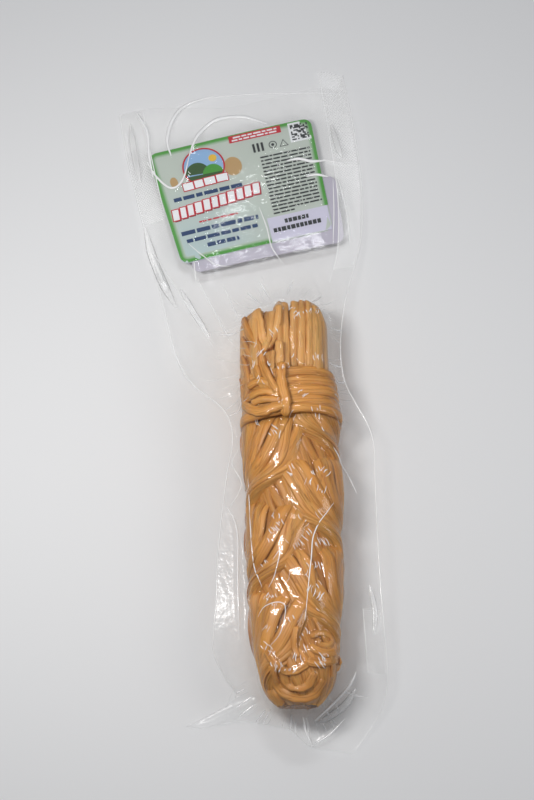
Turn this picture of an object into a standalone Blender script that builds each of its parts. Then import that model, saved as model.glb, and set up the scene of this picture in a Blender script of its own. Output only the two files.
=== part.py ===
# A plait of smoked string cheese lying in its flat vacuum bag, with two paper labels in the bag's head.
# Metres, +Z up. +Y runs from the plait's folded foot to the label end, and the shown side faces +Z.
# The origin is under the middle of the whole pack's box, on the surface that it lies on.
import math

import bmesh
import bpy
from mathutils import Vector

MM = 0.001
FULL_TURN = 2 * math.pi

# The plait's outer form, pressed by the bag: where its axis lies and half its width, at places
# along its length.
PLAIT_FOOT = -165.0 * MM
PLAIT_TIP = 41.0 * MM
CENTRES = (
    (-165.0, 23.4),
    (-110.0, 23.9),
    (-60.0, 23.4),
    (-36.0, 22.0),
    (-14.0, 21.4),
    (6.0, 18.9),
    (41.0, 18.5),
)
HALF_WIDTHS = (
    (-165.0, 4.0),
    (-162.0, 9.5),
    (-155.0, 15.2),
    (-142.0, 19.2),
    (-126.0, 21.6),
    (-108.0, 23.0),
    (-70.0, 23.5),
    (-52.0, 23.8),
    (-36.0, 23.3),
    (-14.0, 22.9),
    (0.0, 22.2),
    (12.0, 21.7),
    (27.0, 21.6),
    (37.0, 19.4),
    (41.0, 16.0),
)
HALF_THICKNESSES = (
    (-165.0, 5.0),
    (-161.0, 10.0),
    (-153.0, 14.5),
    (-140.0, 17.6),
    (-120.0, 19.0),
    (-20.0, 19.0),
    (0.0, 17.6),
    (20.0, 16.0),
    (34.0, 13.6),
    (41.0, 10.5),
)
MIDDLE_HEIGHT = 17.6 * MM
ROUNDNESS = 2.35
PRESSED_FROM = 0.86

# Plain filling between the bundles, as a share of the outer form, kept back from both ends.
HEART_SHARE = 0.84
HEART_INSET = 0.3 * MM
HEART_TOP_INSET = 10.0 * MM

# The three bundles of strands and the path that each weaves.
BUNDLES = 3
WEAVE_LENGTH = 138.0 * MM
WEAVE_START = -12.0 * MM
WEAVE_SWING = 13.5 * MM
WEAVE_RISE = 8.6 * MM
WEAVE_LAG = 0.48  # how far the rise trails the swing, in radians
TAPER_BELOW = 22.5 * MM
BUNDLE_HALF_WIDTH = 19.4 * MM
BUNDLE_HALF_DEPTH = 10.2 * MM
BUNDLE_TOP = 2.0 * MM
BUNDLE_FOOT = PLAIT_FOOT + 2.0 * MM
BUNDLE_STATIONS = 38
BUNDLE_RIBS = 10
RIB_DEPTH = 0.13
FACE_TURN = math.radians(78.0)

# The strands wound round the plait's neck, and the knot on them.
TIE_TOP = -1.0 * MM
TIE_TURNS = 5
TIE_PITCH = 4.7 * MM
TIE_HALF_WIDTH = 2.9 * MM
TIE_HALF_DEPTH = 1.7 * MM
TIE_SLANT = 1.6 * MM
TIE_STATIONS = 26

# The bag: its left and right edges at matching places from the mouth to the foot, with the height of
# each edge and of the middle over the surface.
BAG_ROWS = (
    # left x, left y, right x, right y, left height, middle height, right height
    (-68.3, 156.5, 50.7, 180.0, 1.0, 1.6, 1.0),
    (-64.1, 132.6, 55.0, 155.0, 1.8, 2.6, 2.0),
    (-57.2, 102.8, 59.0, 126.0, 2.4, 3.6, 2.8),
    (-51.2, 79.1, 60.2, 102.0, 3.0, 4.8, 3.4),
    (-45.4, 55.4, 58.4, 78.0, 4.0, 7.0, 4.6),
    (-40.0, 32.0, 51.8, 54.0, 6.0, 11.0, 7.0),
    (-31.6, 6.0, 47.8, 27.0, 8.5, 14.5, 10.0),
    (-13.0, -12.0, 48.8, 4.0, 11.5, 16.0, 12.5),
    (-7.0, -27.0, 56.0, -13.0, 13.5, 16.0, 13.0),
    (-9.4, -45.0, 63.0, -28.0, 13.0, 16.0, 12.5),
    (-12.0, -66.0, 64.0, -58.0, 12.0, 16.0, 12.0),
    (-14.2, -91.0, 65.0, -88.0, 11.5, 16.0, 11.5),
    (-14.8, -117.0, 66.6, -118.0, 11.0, 15.5, 10.5),
    (-16.2, -135.0, 68.2, -138.0, 9.0, 13.5, 9.0),
    (-10.5, -148.5, 68.2, -153.0, 6.2, 10.5, 6.5),
    (-6.0, -158.5, 63.5, -167.0, 2.8, 5.5, 3.0),
    (-28.5, -171.0, 51.5, -184.2, 0.9, 1.2, 0.9),
)
BAG_THICKNESS = 1.2 * MM
BAG_COLUMNS = 16
BAG_LINES = 48
MOUTH_BULGE = 9.8 * MM
FOOT_NOTCH = 7.0 * MM
FOLD_HEIGHT = 1.1 * MM
CLEARANCE = 0.4 * MM

# The two labels in the bag's head.
# Each label's corners: lower left, lower right, upper left, upper right, in millimetres. The sheets
# are a little out of square, as they curl with the film.
FRONT_LABEL_CORNERS = ((-33.5, 68.0), (44.5, 87.6), (-52.5, 131.5), (33.0, 153.2))
BACK_LABEL_CORNERS = ((-27.3, 63.0), (50.4, 81.0), (-34.0, 101.0), (45.6, 120.0))
FRONT_LABEL_HEIGHT = 66.0 * MM
BACK_LABEL_HEIGHT = 39.0 * MM
LABEL_CORNER = 4.5 * MM
LABEL_CORNER_STEPS = 3
LABEL_ROWS = 6
LABEL_COLUMNS = 10
PAPER_THICKNESS = 0.35 * MM
PAPER_GAP = 0.3 * MM


def cubic(before, start, end, after, t):
    """A point of the smooth curve from start to end, at t from 0 to 1."""
    return 0.5 * (
        2 * start
        + (end - before) * t
        + (2 * before - 5 * start + 4 * end - after) * t * t
        + (3 * start - before - 3 * end + after) * t * t * t
    )


def along(values, place):
    """The smooth curve through evenly spaced values, at place from 0 to 1."""
    last = len(values) - 1
    scaled = min(max(place, 0.0), 1.0) * last
    i = min(int(scaled), last - 1)
    before = values[max(i - 1, 0)]
    after = values[min(i + 2, last)]
    return cubic(before, values[i], values[i + 1], after, scaled - i)


def from_table(table, y):
    """A size in metres at y, eased between the table's places, which are in millimetres."""
    y_mm = y / MM
    if y_mm <= table[0][0]:
        return table[0][1] * MM
    for (low, a), (high, b) in zip(table, table[1:]):
        if y_mm <= high:
            return (a + (b - a) * (y_mm - low) / (high - low)) * MM
    return table[-1][1] * MM


def smooth(low, high, x):
    t = min(max((x - low) / (high - low), 0.0), 1.0)
    return t * t * (3 - 2 * t)


def centre_x(y):
    return from_table(CENTRES, y)


def pressed(point, grow=0.0):
    """The point drawn in so that it stays inside the plait's outer form, as the bag presses it."""
    half_width = from_table(HALF_WIDTHS, point.y)
    half_thickness = from_table(HALF_THICKNESSES, point.y)
    across = (point.x - centre_x(point.y)) / half_width
    up = (point.z - MIDDLE_HEIGHT) / half_thickness
    reach = (abs(across) ** ROUNDNESS + abs(up) ** ROUNDNESS) ** (1 / ROUNDNESS)
    share = 1.0
    if reach > PRESSED_FROM:
        room = 1.0 - PRESSED_FROM
        share = (PRESSED_FROM + room * math.tanh((reach - PRESSED_FROM) / room)) / reach
    return Vector(
        (
            centre_x(point.y) + across * share * (half_width + grow),
            point.y,
            MIDDLE_HEIGHT + up * share * (half_thickness + grow),
        )
    )


def rim_point(y, angle, outward=0.0):
    """A point of the plait's outer form at an angle round it, moved outward."""
    c, s = math.cos(angle), math.sin(angle)
    reach = (abs(c) ** ROUNDNESS + abs(s) ** ROUNDNESS) ** (-1 / ROUNDNESS)
    return Vector(
        (
            centre_x(y) + c * reach * (from_table(HALF_WIDTHS, y) + outward),
            y,
            MIDDLE_HEIGHT + s * reach * (from_table(HALF_THICKNESSES, y) + outward),
        )
    )


def mesh_object(name, mesh):
    made = bmesh.new()
    made.from_mesh(mesh)
    bmesh.ops.remove_doubles(made, verts=made.verts, dist=1e-6)
    bmesh.ops.recalc_face_normals(made, faces=made.faces)
    made.to_mesh(mesh)
    made.free()
    found = bpy.data.objects.new(name, mesh)
    bpy.context.scene.collection.objects.link(found)
    return found


def tube(name, rings, ring_closes=False):
    """A closed body through rings of points, capped at both ends unless the last ring meets the first."""
    sides = len(rings[0])
    points = [tuple(p) for ring in rings for p in ring]
    count = len(rings)
    faces = []
    for i in range(count if ring_closes else count - 1):
        near, far = i * sides, (i + 1) % count * sides
        for j in range(sides):
            k = (j + 1) % sides
            faces.append((near + j, near + k, far + k, far + j))
    if not ring_closes:
        faces.append(tuple(range(sides)))
        faces.append(tuple(range((count - 1) * sides, count * sides)))
    mesh = bpy.data.meshes.new(name)
    mesh.from_pydata(points, [], faces)
    return mesh_object(name, mesh)


def taper(y):
    """How far the bundles draw in at y, where the plait narrows to its foot."""
    return min(1.0, from_table(HALF_WIDTHS, y) / TAPER_BELOW)


def weave(bundle, y):
    """Centre of a bundle of strands at y, and the turn of its flat face there about the plait's axis."""
    phase = math.pi + FULL_TURN * (WEAVE_START - y) / WEAVE_LENGTH
    phase += FULL_TURN * bundle / BUNDLES
    centre = Vector(
        (
            centre_x(y) + taper(y) * WEAVE_SWING * math.sin(phase),
            y,
            MIDDLE_HEIGHT + taper(y) * WEAVE_RISE * math.sin(2 * phase - WEAVE_LAG),
        )
    )
    c = math.cos(phase - WEAVE_LAG)
    return centre, math.radians(90.0) + FACE_TURN * 1.118 * c / math.sqrt(c * c + 0.25)


def woven_bundle(bundle, grow):
    """One bundle of strands, ribbed along its length, as sections square to the plait's axis."""
    sides = 2 * BUNDLE_RIBS
    rings = []
    for i in range(BUNDLE_STATIONS):
        y = BUNDLE_TOP + (BUNDLE_FOOT - BUNDLE_TOP) * i / (BUNDLE_STATIONS - 1)
        centre, turn = weave(bundle, y)
        side = Vector((math.cos(turn), 0.0, math.sin(turn)))
        normal = Vector((-math.sin(turn), 0.0, math.cos(turn)))
        ring = []
        for j in range(sides):
            angle = FULL_TURN * j / sides
            reach = taper(y) * (1.0 - RIB_DEPTH * (j % 2))
            ring.append(
                pressed(
                    centre
                    + side * (BUNDLE_HALF_WIDTH * reach * math.cos(angle))
                    + normal * (BUNDLE_HALF_DEPTH * reach * math.sin(angle)),
                    grow,
                )
            )
        rings.append(ring)
    return tube(f"bundle_{bundle}", rings)


def plait_heart(share, start, end, grow):
    """Plain filling inside the plait, so that no hollow is left between the bundles."""
    stations, sides = 24, 18
    rings = []
    for i in range(stations):
        y = start + (end - start) * i / (stations - 1)
        middle = Vector((centre_x(y), y, MIDDLE_HEIGHT))
        rings.append(
            [
                middle + (rim_point(y, FULL_TURN * j / sides, grow) - middle) * share
                for j in range(sides)
            ]
        )
    return tube("heart", rings)


def flat_strand(name, path, outwards, half_width, half_depth, sides=6):
    """A flattened strand along a path, thinner at both ends; outwards are the ways its flat face looks."""
    rings = []
    last = len(path) - 1
    for i, (centre, face) in enumerate(zip(path, outwards)):
        way = (path[min(i + 1, last)] - path[max(i - 1, 0)]).normalized()
        side = way.cross(face).normalized()
        normal = side.cross(way)
        size = 0.55 if i in (0, last) else 1.0
        rings.append(
            [
                centre
                + side * (half_width * size * math.cos(FULL_TURN * j / sides))
                + normal * (half_depth * size * math.sin(FULL_TURN * j / sides))
                for j in range(sides)
            ]
        )
    return tube(name, rings)


def tie_turn(turn, grow):
    """One turn of the strands wound round the neck, a little slanted."""
    sides = 8
    y_middle = TIE_TOP - TIE_PITCH * (turn + 0.5)
    rings = []
    for i in range(TIE_STATIONS):
        angle = FULL_TURN * i / TIE_STATIONS
        y = y_middle + TIE_SLANT * math.cos(angle)
        centre = rim_point(y, angle, -0.2 * MM)
        outward = (rim_point(y, angle, 1 * MM) - centre).normalized()
        rings.append(
            [
                centre
                + Vector((0, (TIE_HALF_WIDTH + grow) * math.cos(FULL_TURN * j / sides), 0))
                + outward * ((TIE_HALF_DEPTH + grow) * math.sin(FULL_TURN * j / sides))
                for j in range(sides)
            ]
        )
    return tube(f"tie_{turn}", rings, ring_closes=True)


def tuft_bundle(name, x_low, x_high, start, top_y, ribs, grow):
    """The loose strands above the tie: one upright bundle between two shares of the width."""
    stations, sides = 9, 2 * ribs
    rings = []
    for i in range(stations):
        share = i / (stations - 1)
        y = start + (top_y - start) * share
        half = from_table(HALF_WIDTHS, y) + grow
        depth = from_table(HALF_THICKNESSES, y) + grow
        end = math.sqrt(max(1.0 - max(0.0, (share - 0.72) / 0.28) ** 2, 0.12))
        middle_x = centre_x(y) + half * (x_low + x_high) / 2
        half_x = half * (x_high - x_low) / 2 * (0.55 + 0.45 * end)
        ring = []
        for j in range(sides):
            angle = FULL_TURN * j / sides
            c, s = math.cos(angle), math.sin(angle)
            reach = (abs(c) ** 2.6 + abs(s) ** 2.6) ** (-1 / 2.6) * (1 - 0.09 * (j % 2))
            ring.append(
                Vector(
                    (
                        middle_x + half_x * c * reach,
                        y,
                        MIDDLE_HEIGHT + depth * end * s * reach,
                    )
                )
            )
        rings.append(ring)
    return tube(name, rings)


def draped(points, lift, half_width, half_depth, name, grow):
    """A strand laid over the plait's shown face: points give x as a share of the width, and y."""
    path, outwards = [], []
    steps = 3 * (len(points) - 1)
    for i in range(steps + 1):
        share = along([p[0] for p in points], i / steps)
        y = along([p[1] for p in points], i / steps) * MM
        angle = math.acos(max(-0.98, min(0.98, share)))
        surface = rim_point(y, angle, lift)
        path.append(surface)
        outwards.append((surface - rim_point(y, angle, lift - 1 * MM)).normalized())
    return flat_strand(name, path, outwards, half_width + grow, half_depth + grow)


def plait_pieces(grow=0.0):
    """Every body that is fused into the cheese. grow makes the slightly larger, fuller shape that cuts the bag."""
    if grow:
        pieces = [plait_heart(1.0, PLAIT_FOOT, PLAIT_TIP + grow, grow)]
    else:
        pieces = [plait_heart(HEART_SHARE, PLAIT_FOOT + HEART_INSET, PLAIT_TIP - HEART_TOP_INSET, 0.0)]
    pieces += [woven_bundle(k, grow) for k in range(BUNDLES)]
    pieces += [tie_turn(k, grow) for k in range(TIE_TURNS)]
    pieces.append(tuft_bundle("tuft_right", 0.10, 0.97, -7 * MM, PLAIT_TIP, 8, grow))
    pieces.append(tuft_bundle("tuft_left", -0.97, 0.04, -9 * MM, PLAIT_TIP - 5 * MM, 9, grow))
    pieces.append(tuft_bundle("tuft_middle", -0.16, 0.06, -5 * MM, PLAIT_TIP - 1 * MM, 4, grow))
    knot = ((-0.16, 14.0), (-0.20, 4.0), (-0.26, -3.0), (-0.10, -13.0), (-0.10, -24.0))
    pieces.append(draped(knot, 0.9 * MM, 2.6 * MM, 1.9 * MM, "knot", grow))
    crossing = ((-0.92, 34.0), (-0.72, 18.0), (-0.52, 4.0), (-0.40, -8.0), (-0.12, -18.0))
    pieces.append(draped(crossing, 0.8 * MM, 2.5 * MM, 1.8 * MM, "crossing", grow))
    low_loop = ((-0.86, -14.0), (-0.70, -20.5), (-0.42, -23.5), (-0.08, -25.5))
    pieces.append(draped(low_loop, 0.7 * MM, 2.6 * MM, 1.8 * MM, "low_loop", grow))
    foot_folds = (
        ((-0.62, -150.0), (-0.20, -146.0), (0.30, -147.0), (0.86, -139.0)),
        ((-0.50, -158.0), (0.00, -155.0), (0.52, -158.0)),
        ((0.10, -134.0), (0.44, -130.0), (0.72, -137.0), (0.52, -146.0)),
    )
    for i, fold in enumerate(foot_folds):
        pieces.append(draped(fold, 0.4 * MM, 2.7 * MM, 1.7 * MM, f"fold_{i}", grow))
    return pieces


def keep_largest_shell(mesh):
    """Fills sealed hollows and drops loose scraps, by keeping the shell with the largest box."""
    made = bmesh.new()
    made.from_mesh(mesh)
    left = set(made.verts)
    shells = []
    while left:
        shell, edge = set(), [left.pop()]
        while edge:
            vert = edge.pop()
            shell.add(vert)
            for link in vert.link_edges:
                other = link.other_vert(vert)
                if other in left:
                    left.discard(other)
                    edge.append(other)
        shells.append(shell)

    def box_size(shell):
        spans = [max(v.co[a] for v in shell) - min(v.co[a] for v in shell) for a in range(3)]
        return sum(spans)

    largest = max(shells, key=box_size)
    loose = [v for shell in shells if shell is not largest for v in shell]
    bmesh.ops.delete(made, geom=loose, context="VERTS")
    made.to_mesh(mesh)
    made.free()


def apply_boolean(target, operation, others, solver):
    """Applies one Boolean on a collection of the other bodies, then removes them."""
    helpers = bpy.data.collections.new("helpers")
    bpy.context.scene.collection.children.link(helpers)
    for other in others:
        bpy.context.scene.collection.objects.unlink(other)
        helpers.objects.link(other)
    modifier = target.modifiers.new("join", "BOOLEAN")
    modifier.operation = operation
    modifier.operand_type = "COLLECTION"
    modifier.collection = helpers
    modifier.solver = solver
    graph = bpy.context.evaluated_depsgraph_get()
    joined = bpy.data.meshes.new_from_object(target.evaluated_get(graph))
    target.modifiers.clear()
    target.data = joined
    for other in others:
        bpy.data.objects.remove(other)
    bpy.data.collections.remove(helpers)
    keep_largest_shell(target.data)


def flatten_base(target, height):
    """Cuts the underside flat at a height, where the plait rests."""
    made = bmesh.new()
    made.from_mesh(target.data)
    bmesh.ops.bisect_plane(
        made,
        geom=made.verts[:] + made.edges[:] + made.faces[:],
        dist=1e-7,
        plane_co=(0, 0, height),
        plane_no=(0, 0, -1),
        clear_outer=True,
    )
    rim = [e for e in made.edges if e.is_boundary]
    bmesh.ops.holes_fill(made, edges=rim)
    bmesh.ops.triangulate(made, faces=made.faces)
    made.to_mesh(target.data)
    made.free()


def material(name, colour, roughness, alpha=1.0):
    made = bpy.data.materials.new(name)
    made.use_nodes = True
    shader = made.node_tree.nodes["Principled BSDF"]
    shader.inputs["Base Color"].default_value = (*colour, 1.0)
    shader.inputs["Roughness"].default_value = roughness
    shader.inputs["Metallic"].default_value = 0.0
    shader.inputs["Alpha"].default_value = alpha
    return made


def finish(target, name, finish_material, smooth_angle):
    target.name = name
    target.data.name = name
    target.data.materials.clear()
    target.data.materials.append(finish_material)
    target.data.shade_smooth()
    target.data.set_sharp_from_angle(angle=math.radians(smooth_angle))


def cheese_plait(grow=0.0):
    pieces = plait_pieces(grow)
    apply_boolean(pieces[0], "UNION", pieces[1:], "EXACT")
    return pieces[0]


def fold_height(u, v):
    """Low folds that fan out from the bag's neck and cross its flat head."""
    neck = math.exp(-(((v - 0.40) / 0.10) ** 2))
    fan = math.cos(FULL_TURN * 3.5 * (u - 0.5) + 0.6)
    head = math.exp(-(((v - 0.12) / 0.10) ** 2))
    roll = math.cos(FULL_TURN * (1.2 * u + 3.0 * v) + 1.0)
    return FOLD_HEIGHT * (neck * fan + 0.5 * head * roll)


def bag_point(u, v):
    """Middle of the bag's thickness at u across, from the left edge, and v from mouth to foot."""
    left_x, left_y, right_x, right_y, left_z, middle_z, right_z = (
        along([row[i] for row in BAG_ROWS], v) * MM for i in range(7)
    )
    x = left_x + (right_x - left_x) * u
    y = left_y + (right_y - left_y) * u
    y += MOUTH_BULGE * u**1.3 * (1 - u**14) * (1 - smooth(0.0, 0.12, v))
    notch = smooth(0.05, 0.35, u) * (1 - smooth(0.60, 0.75, u))
    y += FOOT_NOTCH * notch * smooth(0.94, 1.0, v)
    edge_z = left_z + (right_z - left_z) * u
    swell = 1 - abs(2 * u - 1) ** 2.2
    z = edge_z + (middle_z - (left_z + right_z) / 2) * swell
    z += fold_height(u, v) * swell
    return Vector((x, y, max(z, BAG_THICKNESS / 2)))


def thin_sheet(name, upper, lower, columns, lines):
    """A closed body between two grids of points, each of lines + 1 rows of columns + 1 points."""
    width, offset = columns + 1, len(upper)
    faces = []
    for i in range(lines):
        for j in range(columns):
            a, b = i * width + j, (i + 1) * width + j
            faces.append((a, b, b + 1, a + 1))
            faces.append((offset + a, offset + a + 1, offset + b + 1, offset + b))
    rim = list(range(width))
    rim += [i * width + columns for i in range(1, lines + 1)]
    rim += [lines * width + j for j in range(columns - 1, -1, -1)]
    rim += [i * width for i in range(lines - 1, 0, -1)]
    for a, b in zip(rim, rim[1:] + rim[:1]):
        faces.append((a, b, offset + b, offset + a))
    mesh = bpy.data.meshes.new(name)
    mesh.from_pydata([tuple(p) for p in upper + lower], [], faces)
    return mesh_object(name, mesh)


def flat_bag():
    """The bag's flat parts: film on film, with the seals at both sides."""
    half = Vector((0, 0, BAG_THICKNESS / 2))
    upper, lower = [], []
    for i in range(BAG_LINES + 1):
        for j in range(BAG_COLUMNS + 1):
            middle = bag_point(j / BAG_COLUMNS, i / BAG_LINES)
            upper.append(middle + half)
            lower.append(middle - half)
    return thin_sheet("vacuum_bag", upper, lower, BAG_COLUMNS, BAG_LINES)


def bag_height(x, y):
    """Height of the bag's middle under a point of its head, found by walking u and v to it."""
    u, v = 0.5, 0.2
    for _ in range(12):
        here = bag_point(u, v)
        du = (bag_point(u + 0.01, v) - here) / 0.01
        dv = (bag_point(u, v + 0.01) - here) / 0.01
        det = du.x * dv.y - dv.x * du.y
        miss_x, miss_y = x - here.x, y - here.y
        u += (miss_x * dv.y - dv.x * miss_y) / det
        v += (du.x * miss_y - miss_x * du.y) / det
        u, v = min(max(u, 0.0), 0.98), min(max(v, 0.0), 0.98)
    return bag_point(u, v).z


def label_lines(height):
    """Places up a label, closer together round its corners, with how far the corner trims each."""
    places = []
    for i in range(LABEL_CORNER_STEPS + 1):
        angle = math.radians(90.0) * i / LABEL_CORNER_STEPS
        trim = LABEL_CORNER * (1 - math.sin(angle))
        places.append((LABEL_CORNER * (1 - math.cos(angle)), trim))
    inner = height - 2 * LABEL_CORNER
    middle = [(LABEL_CORNER + inner * i / LABEL_ROWS, 0.0) for i in range(1, LABEL_ROWS)]
    return places + middle + [(height - place, trim) for place, trim in reversed(places)]


def label(name, corners, height, lift):
    """A paper label with round corners, bent to the bag under it."""
    low_left, low_right, high_left, high_right = (Vector(p) * MM for p in corners)
    upper, lower = [], []
    places = label_lines(height)
    for up, trim in places:
        left = low_left.lerp(high_left, up / height)
        right = low_right.lerp(high_right, up / height)
        inset = trim / (right - left).length
        for j in range(LABEL_COLUMNS + 1):
            x, y = left.lerp(right, inset + (1 - 2 * inset) * j / LABEL_COLUMNS)
            z = bag_height(x, y) + BAG_THICKNESS / 2 + lift
            lower.append((x, y, z))
            upper.append((x, y, z + PAPER_THICKNESS))
    return thin_sheet(name, upper, lower, LABEL_COLUMNS, len(places) - 1)


def main():
    for old in list(bpy.data.objects):
        bpy.data.objects.remove(old)

    smoked = material("smoked_cheese", (0.56, 0.27, 0.075), 0.42)
    film = material("clear_film", (0.86, 0.87, 0.88), 0.12, alpha=0.35)
    printed = material("printed_label", (0.62, 0.72, 0.62), 0.55)
    paper = material("white_paper", (0.82, 0.81, 0.88), 0.65)

    cheese = cheese_plait()
    flatten_base(cheese, 0.0)
    finish(cheese, "cheese_plait", smoked, 50)

    bag = flat_bag()
    apply_boolean(bag, "DIFFERENCE", [cheese_plait(CLEARANCE)], "EXACT")
    finish(bag, "vacuum_bag", film, 40)

    back = label("back_label", BACK_LABEL_CORNERS, BACK_LABEL_HEIGHT, PAPER_GAP)
    finish(back, "back_label", paper, 40)
    front_lift = 2 * PAPER_GAP + PAPER_THICKNESS
    front = label("front_label", FRONT_LABEL_CORNERS, FRONT_LABEL_HEIGHT, front_lift)
    finish(front, "front_label", printed, 40)


main()
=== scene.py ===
import math
import random

import bmesh
import bpy
import numpy as np
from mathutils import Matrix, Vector, noise
from mathutils.bvhtree import BVHTree


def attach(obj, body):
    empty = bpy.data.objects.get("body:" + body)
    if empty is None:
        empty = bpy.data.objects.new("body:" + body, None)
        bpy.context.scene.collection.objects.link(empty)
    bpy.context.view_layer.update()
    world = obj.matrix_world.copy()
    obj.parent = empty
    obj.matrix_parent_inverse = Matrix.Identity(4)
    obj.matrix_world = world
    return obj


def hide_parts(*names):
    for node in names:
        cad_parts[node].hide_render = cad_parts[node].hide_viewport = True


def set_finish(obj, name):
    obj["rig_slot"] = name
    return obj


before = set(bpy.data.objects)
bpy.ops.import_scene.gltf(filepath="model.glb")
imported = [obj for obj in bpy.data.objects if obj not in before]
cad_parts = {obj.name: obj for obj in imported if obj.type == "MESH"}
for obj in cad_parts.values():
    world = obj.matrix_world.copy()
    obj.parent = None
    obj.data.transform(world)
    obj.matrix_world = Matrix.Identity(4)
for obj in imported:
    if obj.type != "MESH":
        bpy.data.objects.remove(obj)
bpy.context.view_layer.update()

# Shapes are worked out in millimetres in the frame's own axes, and become metres in newPiece.
mm = 0.001
fullTurn = 2 * math.pi
pressHeight = 0.45 * mm  # strands below this are pressed flat against the surface

print("stage 1: camera and studio")

# The photo looks down steeply along +Y, and half a millimetre at the plait fills one pixel.
studio = {
    "target": (10.2, -8.1, 12.0),
    "lookDown": 70.0,
    "distance": 1150.0,
    "pictureHeight": 400.0,
    "sensorHeight": 36.0,
    "floorDrop": 0.4,
    "floorSize": 3200.0,
    "floorColor": (0.80, 0.80, 0.805),
    "floorShade": (0.74, 0.74, 0.745),
    "skyColor": (0.93, 0.95, 1.0),
    "skyStrength": 0.28,
}


def linear(red, green, blue):
    # A colour of 0 to 255 per channel, as the shader wants it.
    shares = [value / 255 for value in (red, green, blue)]
    return [s / 12.92 if s < 0.04045 else ((s + 0.055) / 1.055) ** 2.4 for s in shares]


def addObject(name, data):
    thing = bpy.data.objects.new(name, data)
    bpy.context.scene.collection.objects.link(thing)
    return thing


def makeCamera():
    data = bpy.data.cameras.new("camera")
    data.sensor_fit = "VERTICAL"
    data.sensor_height = studio["sensorHeight"]
    data.lens = studio["distance"] * studio["sensorHeight"] / studio["pictureHeight"]
    data.clip_end = 20.0
    camera = addObject("camera", data)
    down = math.radians(studio["lookDown"])
    away = Vector((0.0, -math.cos(down), math.sin(down)))
    camera.location = (Vector(studio["target"]) + away * studio["distance"]) * mm
    camera.rotation_euler = (math.radians(90.0) - down, 0.0, 0.0)
    bpy.context.scene.camera = camera


def makeSoftbox(name, place, size, power, color):
    data = bpy.data.lights.new(name, "AREA")
    data.shape = "RECTANGLE"
    data.size = size[0] * mm
    data.size_y = size[1] * mm
    data.energy = power
    data.color = color
    lamp = addObject(name, data)
    lamp.location = Vector(place) * mm
    aim = (Vector(studio["target"]) - Vector(place)).normalized()
    lamp.rotation_euler = aim.to_track_quat("-Z", "Y").to_euler()


def makeStudio():
    makeSoftbox("keyLight", (-160, -30, 400), (56, 120), 0.92, (1.0, 0.99, 0.97))
    makeSoftbox("backLight", (40, 330, 560), (170, 60), 0.52, (0.96, 0.98, 1.0))
    makeSoftbox("sideLight", (430, -110, 330), (220, 180), 0.47, (1.0, 1.0, 1.0))
    world = bpy.data.worlds.new("studioSky")
    bpy.context.scene.world = world
    world.use_nodes = True
    sky = world.node_tree.nodes["Background"]
    sky.inputs["Color"].default_value = (*studio["skyColor"], 1.0)
    sky.inputs["Strength"].default_value = studio["skyStrength"]
    bpy.context.scene.view_settings.view_transform = "Standard"


makeCamera()
makeStudio()

print("stage 2: materials")


def addNode(tree, kind, settings=None, **inputs):
    # Adds a node; inputs are values or sockets, named as on the node with _ for a space.
    node = tree.nodes.new(kind)
    for key, value in (settings or {}).items():
        setattr(node, key, value)
    for key, value in inputs.items():
        plug(tree, node, key.replace("_", " "), value)
    return node


def plug(tree, node, name, value):
    # Links a socket to the node's input, or sets the input to a plain value.
    socket = node.inputs[name]
    if isinstance(value, bpy.types.NodeSocket):
        tree.links.new(value, socket)
    else:
        socket.default_value = value


def calc(tree, operation, *values, clamp=False):
    node = addNode(tree, "ShaderNodeMath", {"operation": operation, "use_clamp": clamp})
    for place, value in enumerate(values):
        plug(tree, node, place, value)
    return node.outputs[0]


def vectorCalc(tree, operation, *values):
    node = addNode(tree, "ShaderNodeVectorMath", {"operation": operation})
    for place, value in enumerate(values):
        plug(tree, node, 3 if operation == "SCALE" and place == 1 else place, value)
    return node.outputs["Vector"]


def blendColor(tree, share, first, second):
    node = addNode(tree, "ShaderNodeMix", {"data_type": "RGBA", "blend_type": "MIX"})
    plug(tree, node, 0, share)
    for place, color in ((6, first), (7, second)):
        if not isinstance(color, bpy.types.NodeSocket):
            color = (*color, 1.0)
        plug(tree, node, place, color)
    return node.outputs[2]


def noiseValue(tree, place, scale, detail):
    node = addNode(tree, "ShaderNodeTexNoise", Vector=place, Scale=scale, Detail=detail)
    return node.outputs["Fac"]


def addBump(tree, shader, height, depth, strength):
    node = addNode(tree, "ShaderNodeBump", Height=height, Distance=depth, Strength=strength)
    plug(tree, shader, "Normal", node.outputs["Normal"])
    return node.outputs["Normal"]


def remap(tree, value, low, high, newLow=0.0, newHigh=1.0):
    node = addNode(tree, "ShaderNodeMapRange", {"clamp": True}, Value=value)
    for place, number in enumerate((low, high, newLow, newHigh), 1):
        plug(tree, node, place, number)
    return node.outputs["Result"]


def newGroup(name, inputs, outputs):
    group = bpy.data.node_groups.new(name, "ShaderNodeTree")
    for label, kind, value in inputs:
        socket = group.interface.new_socket(label, in_out="INPUT", socket_type=kind)
        socket.default_value = value
    for label, kind in outputs:
        group.interface.new_socket(label, in_out="OUTPUT", socket_type=kind)
    return group, addNode(group, "NodeGroupInput"), addNode(group, "NodeGroupOutput")


def newMaterial(name, color, roughness):
    made = bpy.data.materials.new(name)
    made.use_nodes = True
    made.diffuse_color = (*color, 1.0)
    tree = made.node_tree
    shader = tree.nodes["Principled BSDF"]
    plug(tree, shader, "Base Color", (*color, 1.0))
    plug(tree, shader, "Roughness", roughness)
    return made, tree, shader


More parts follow.
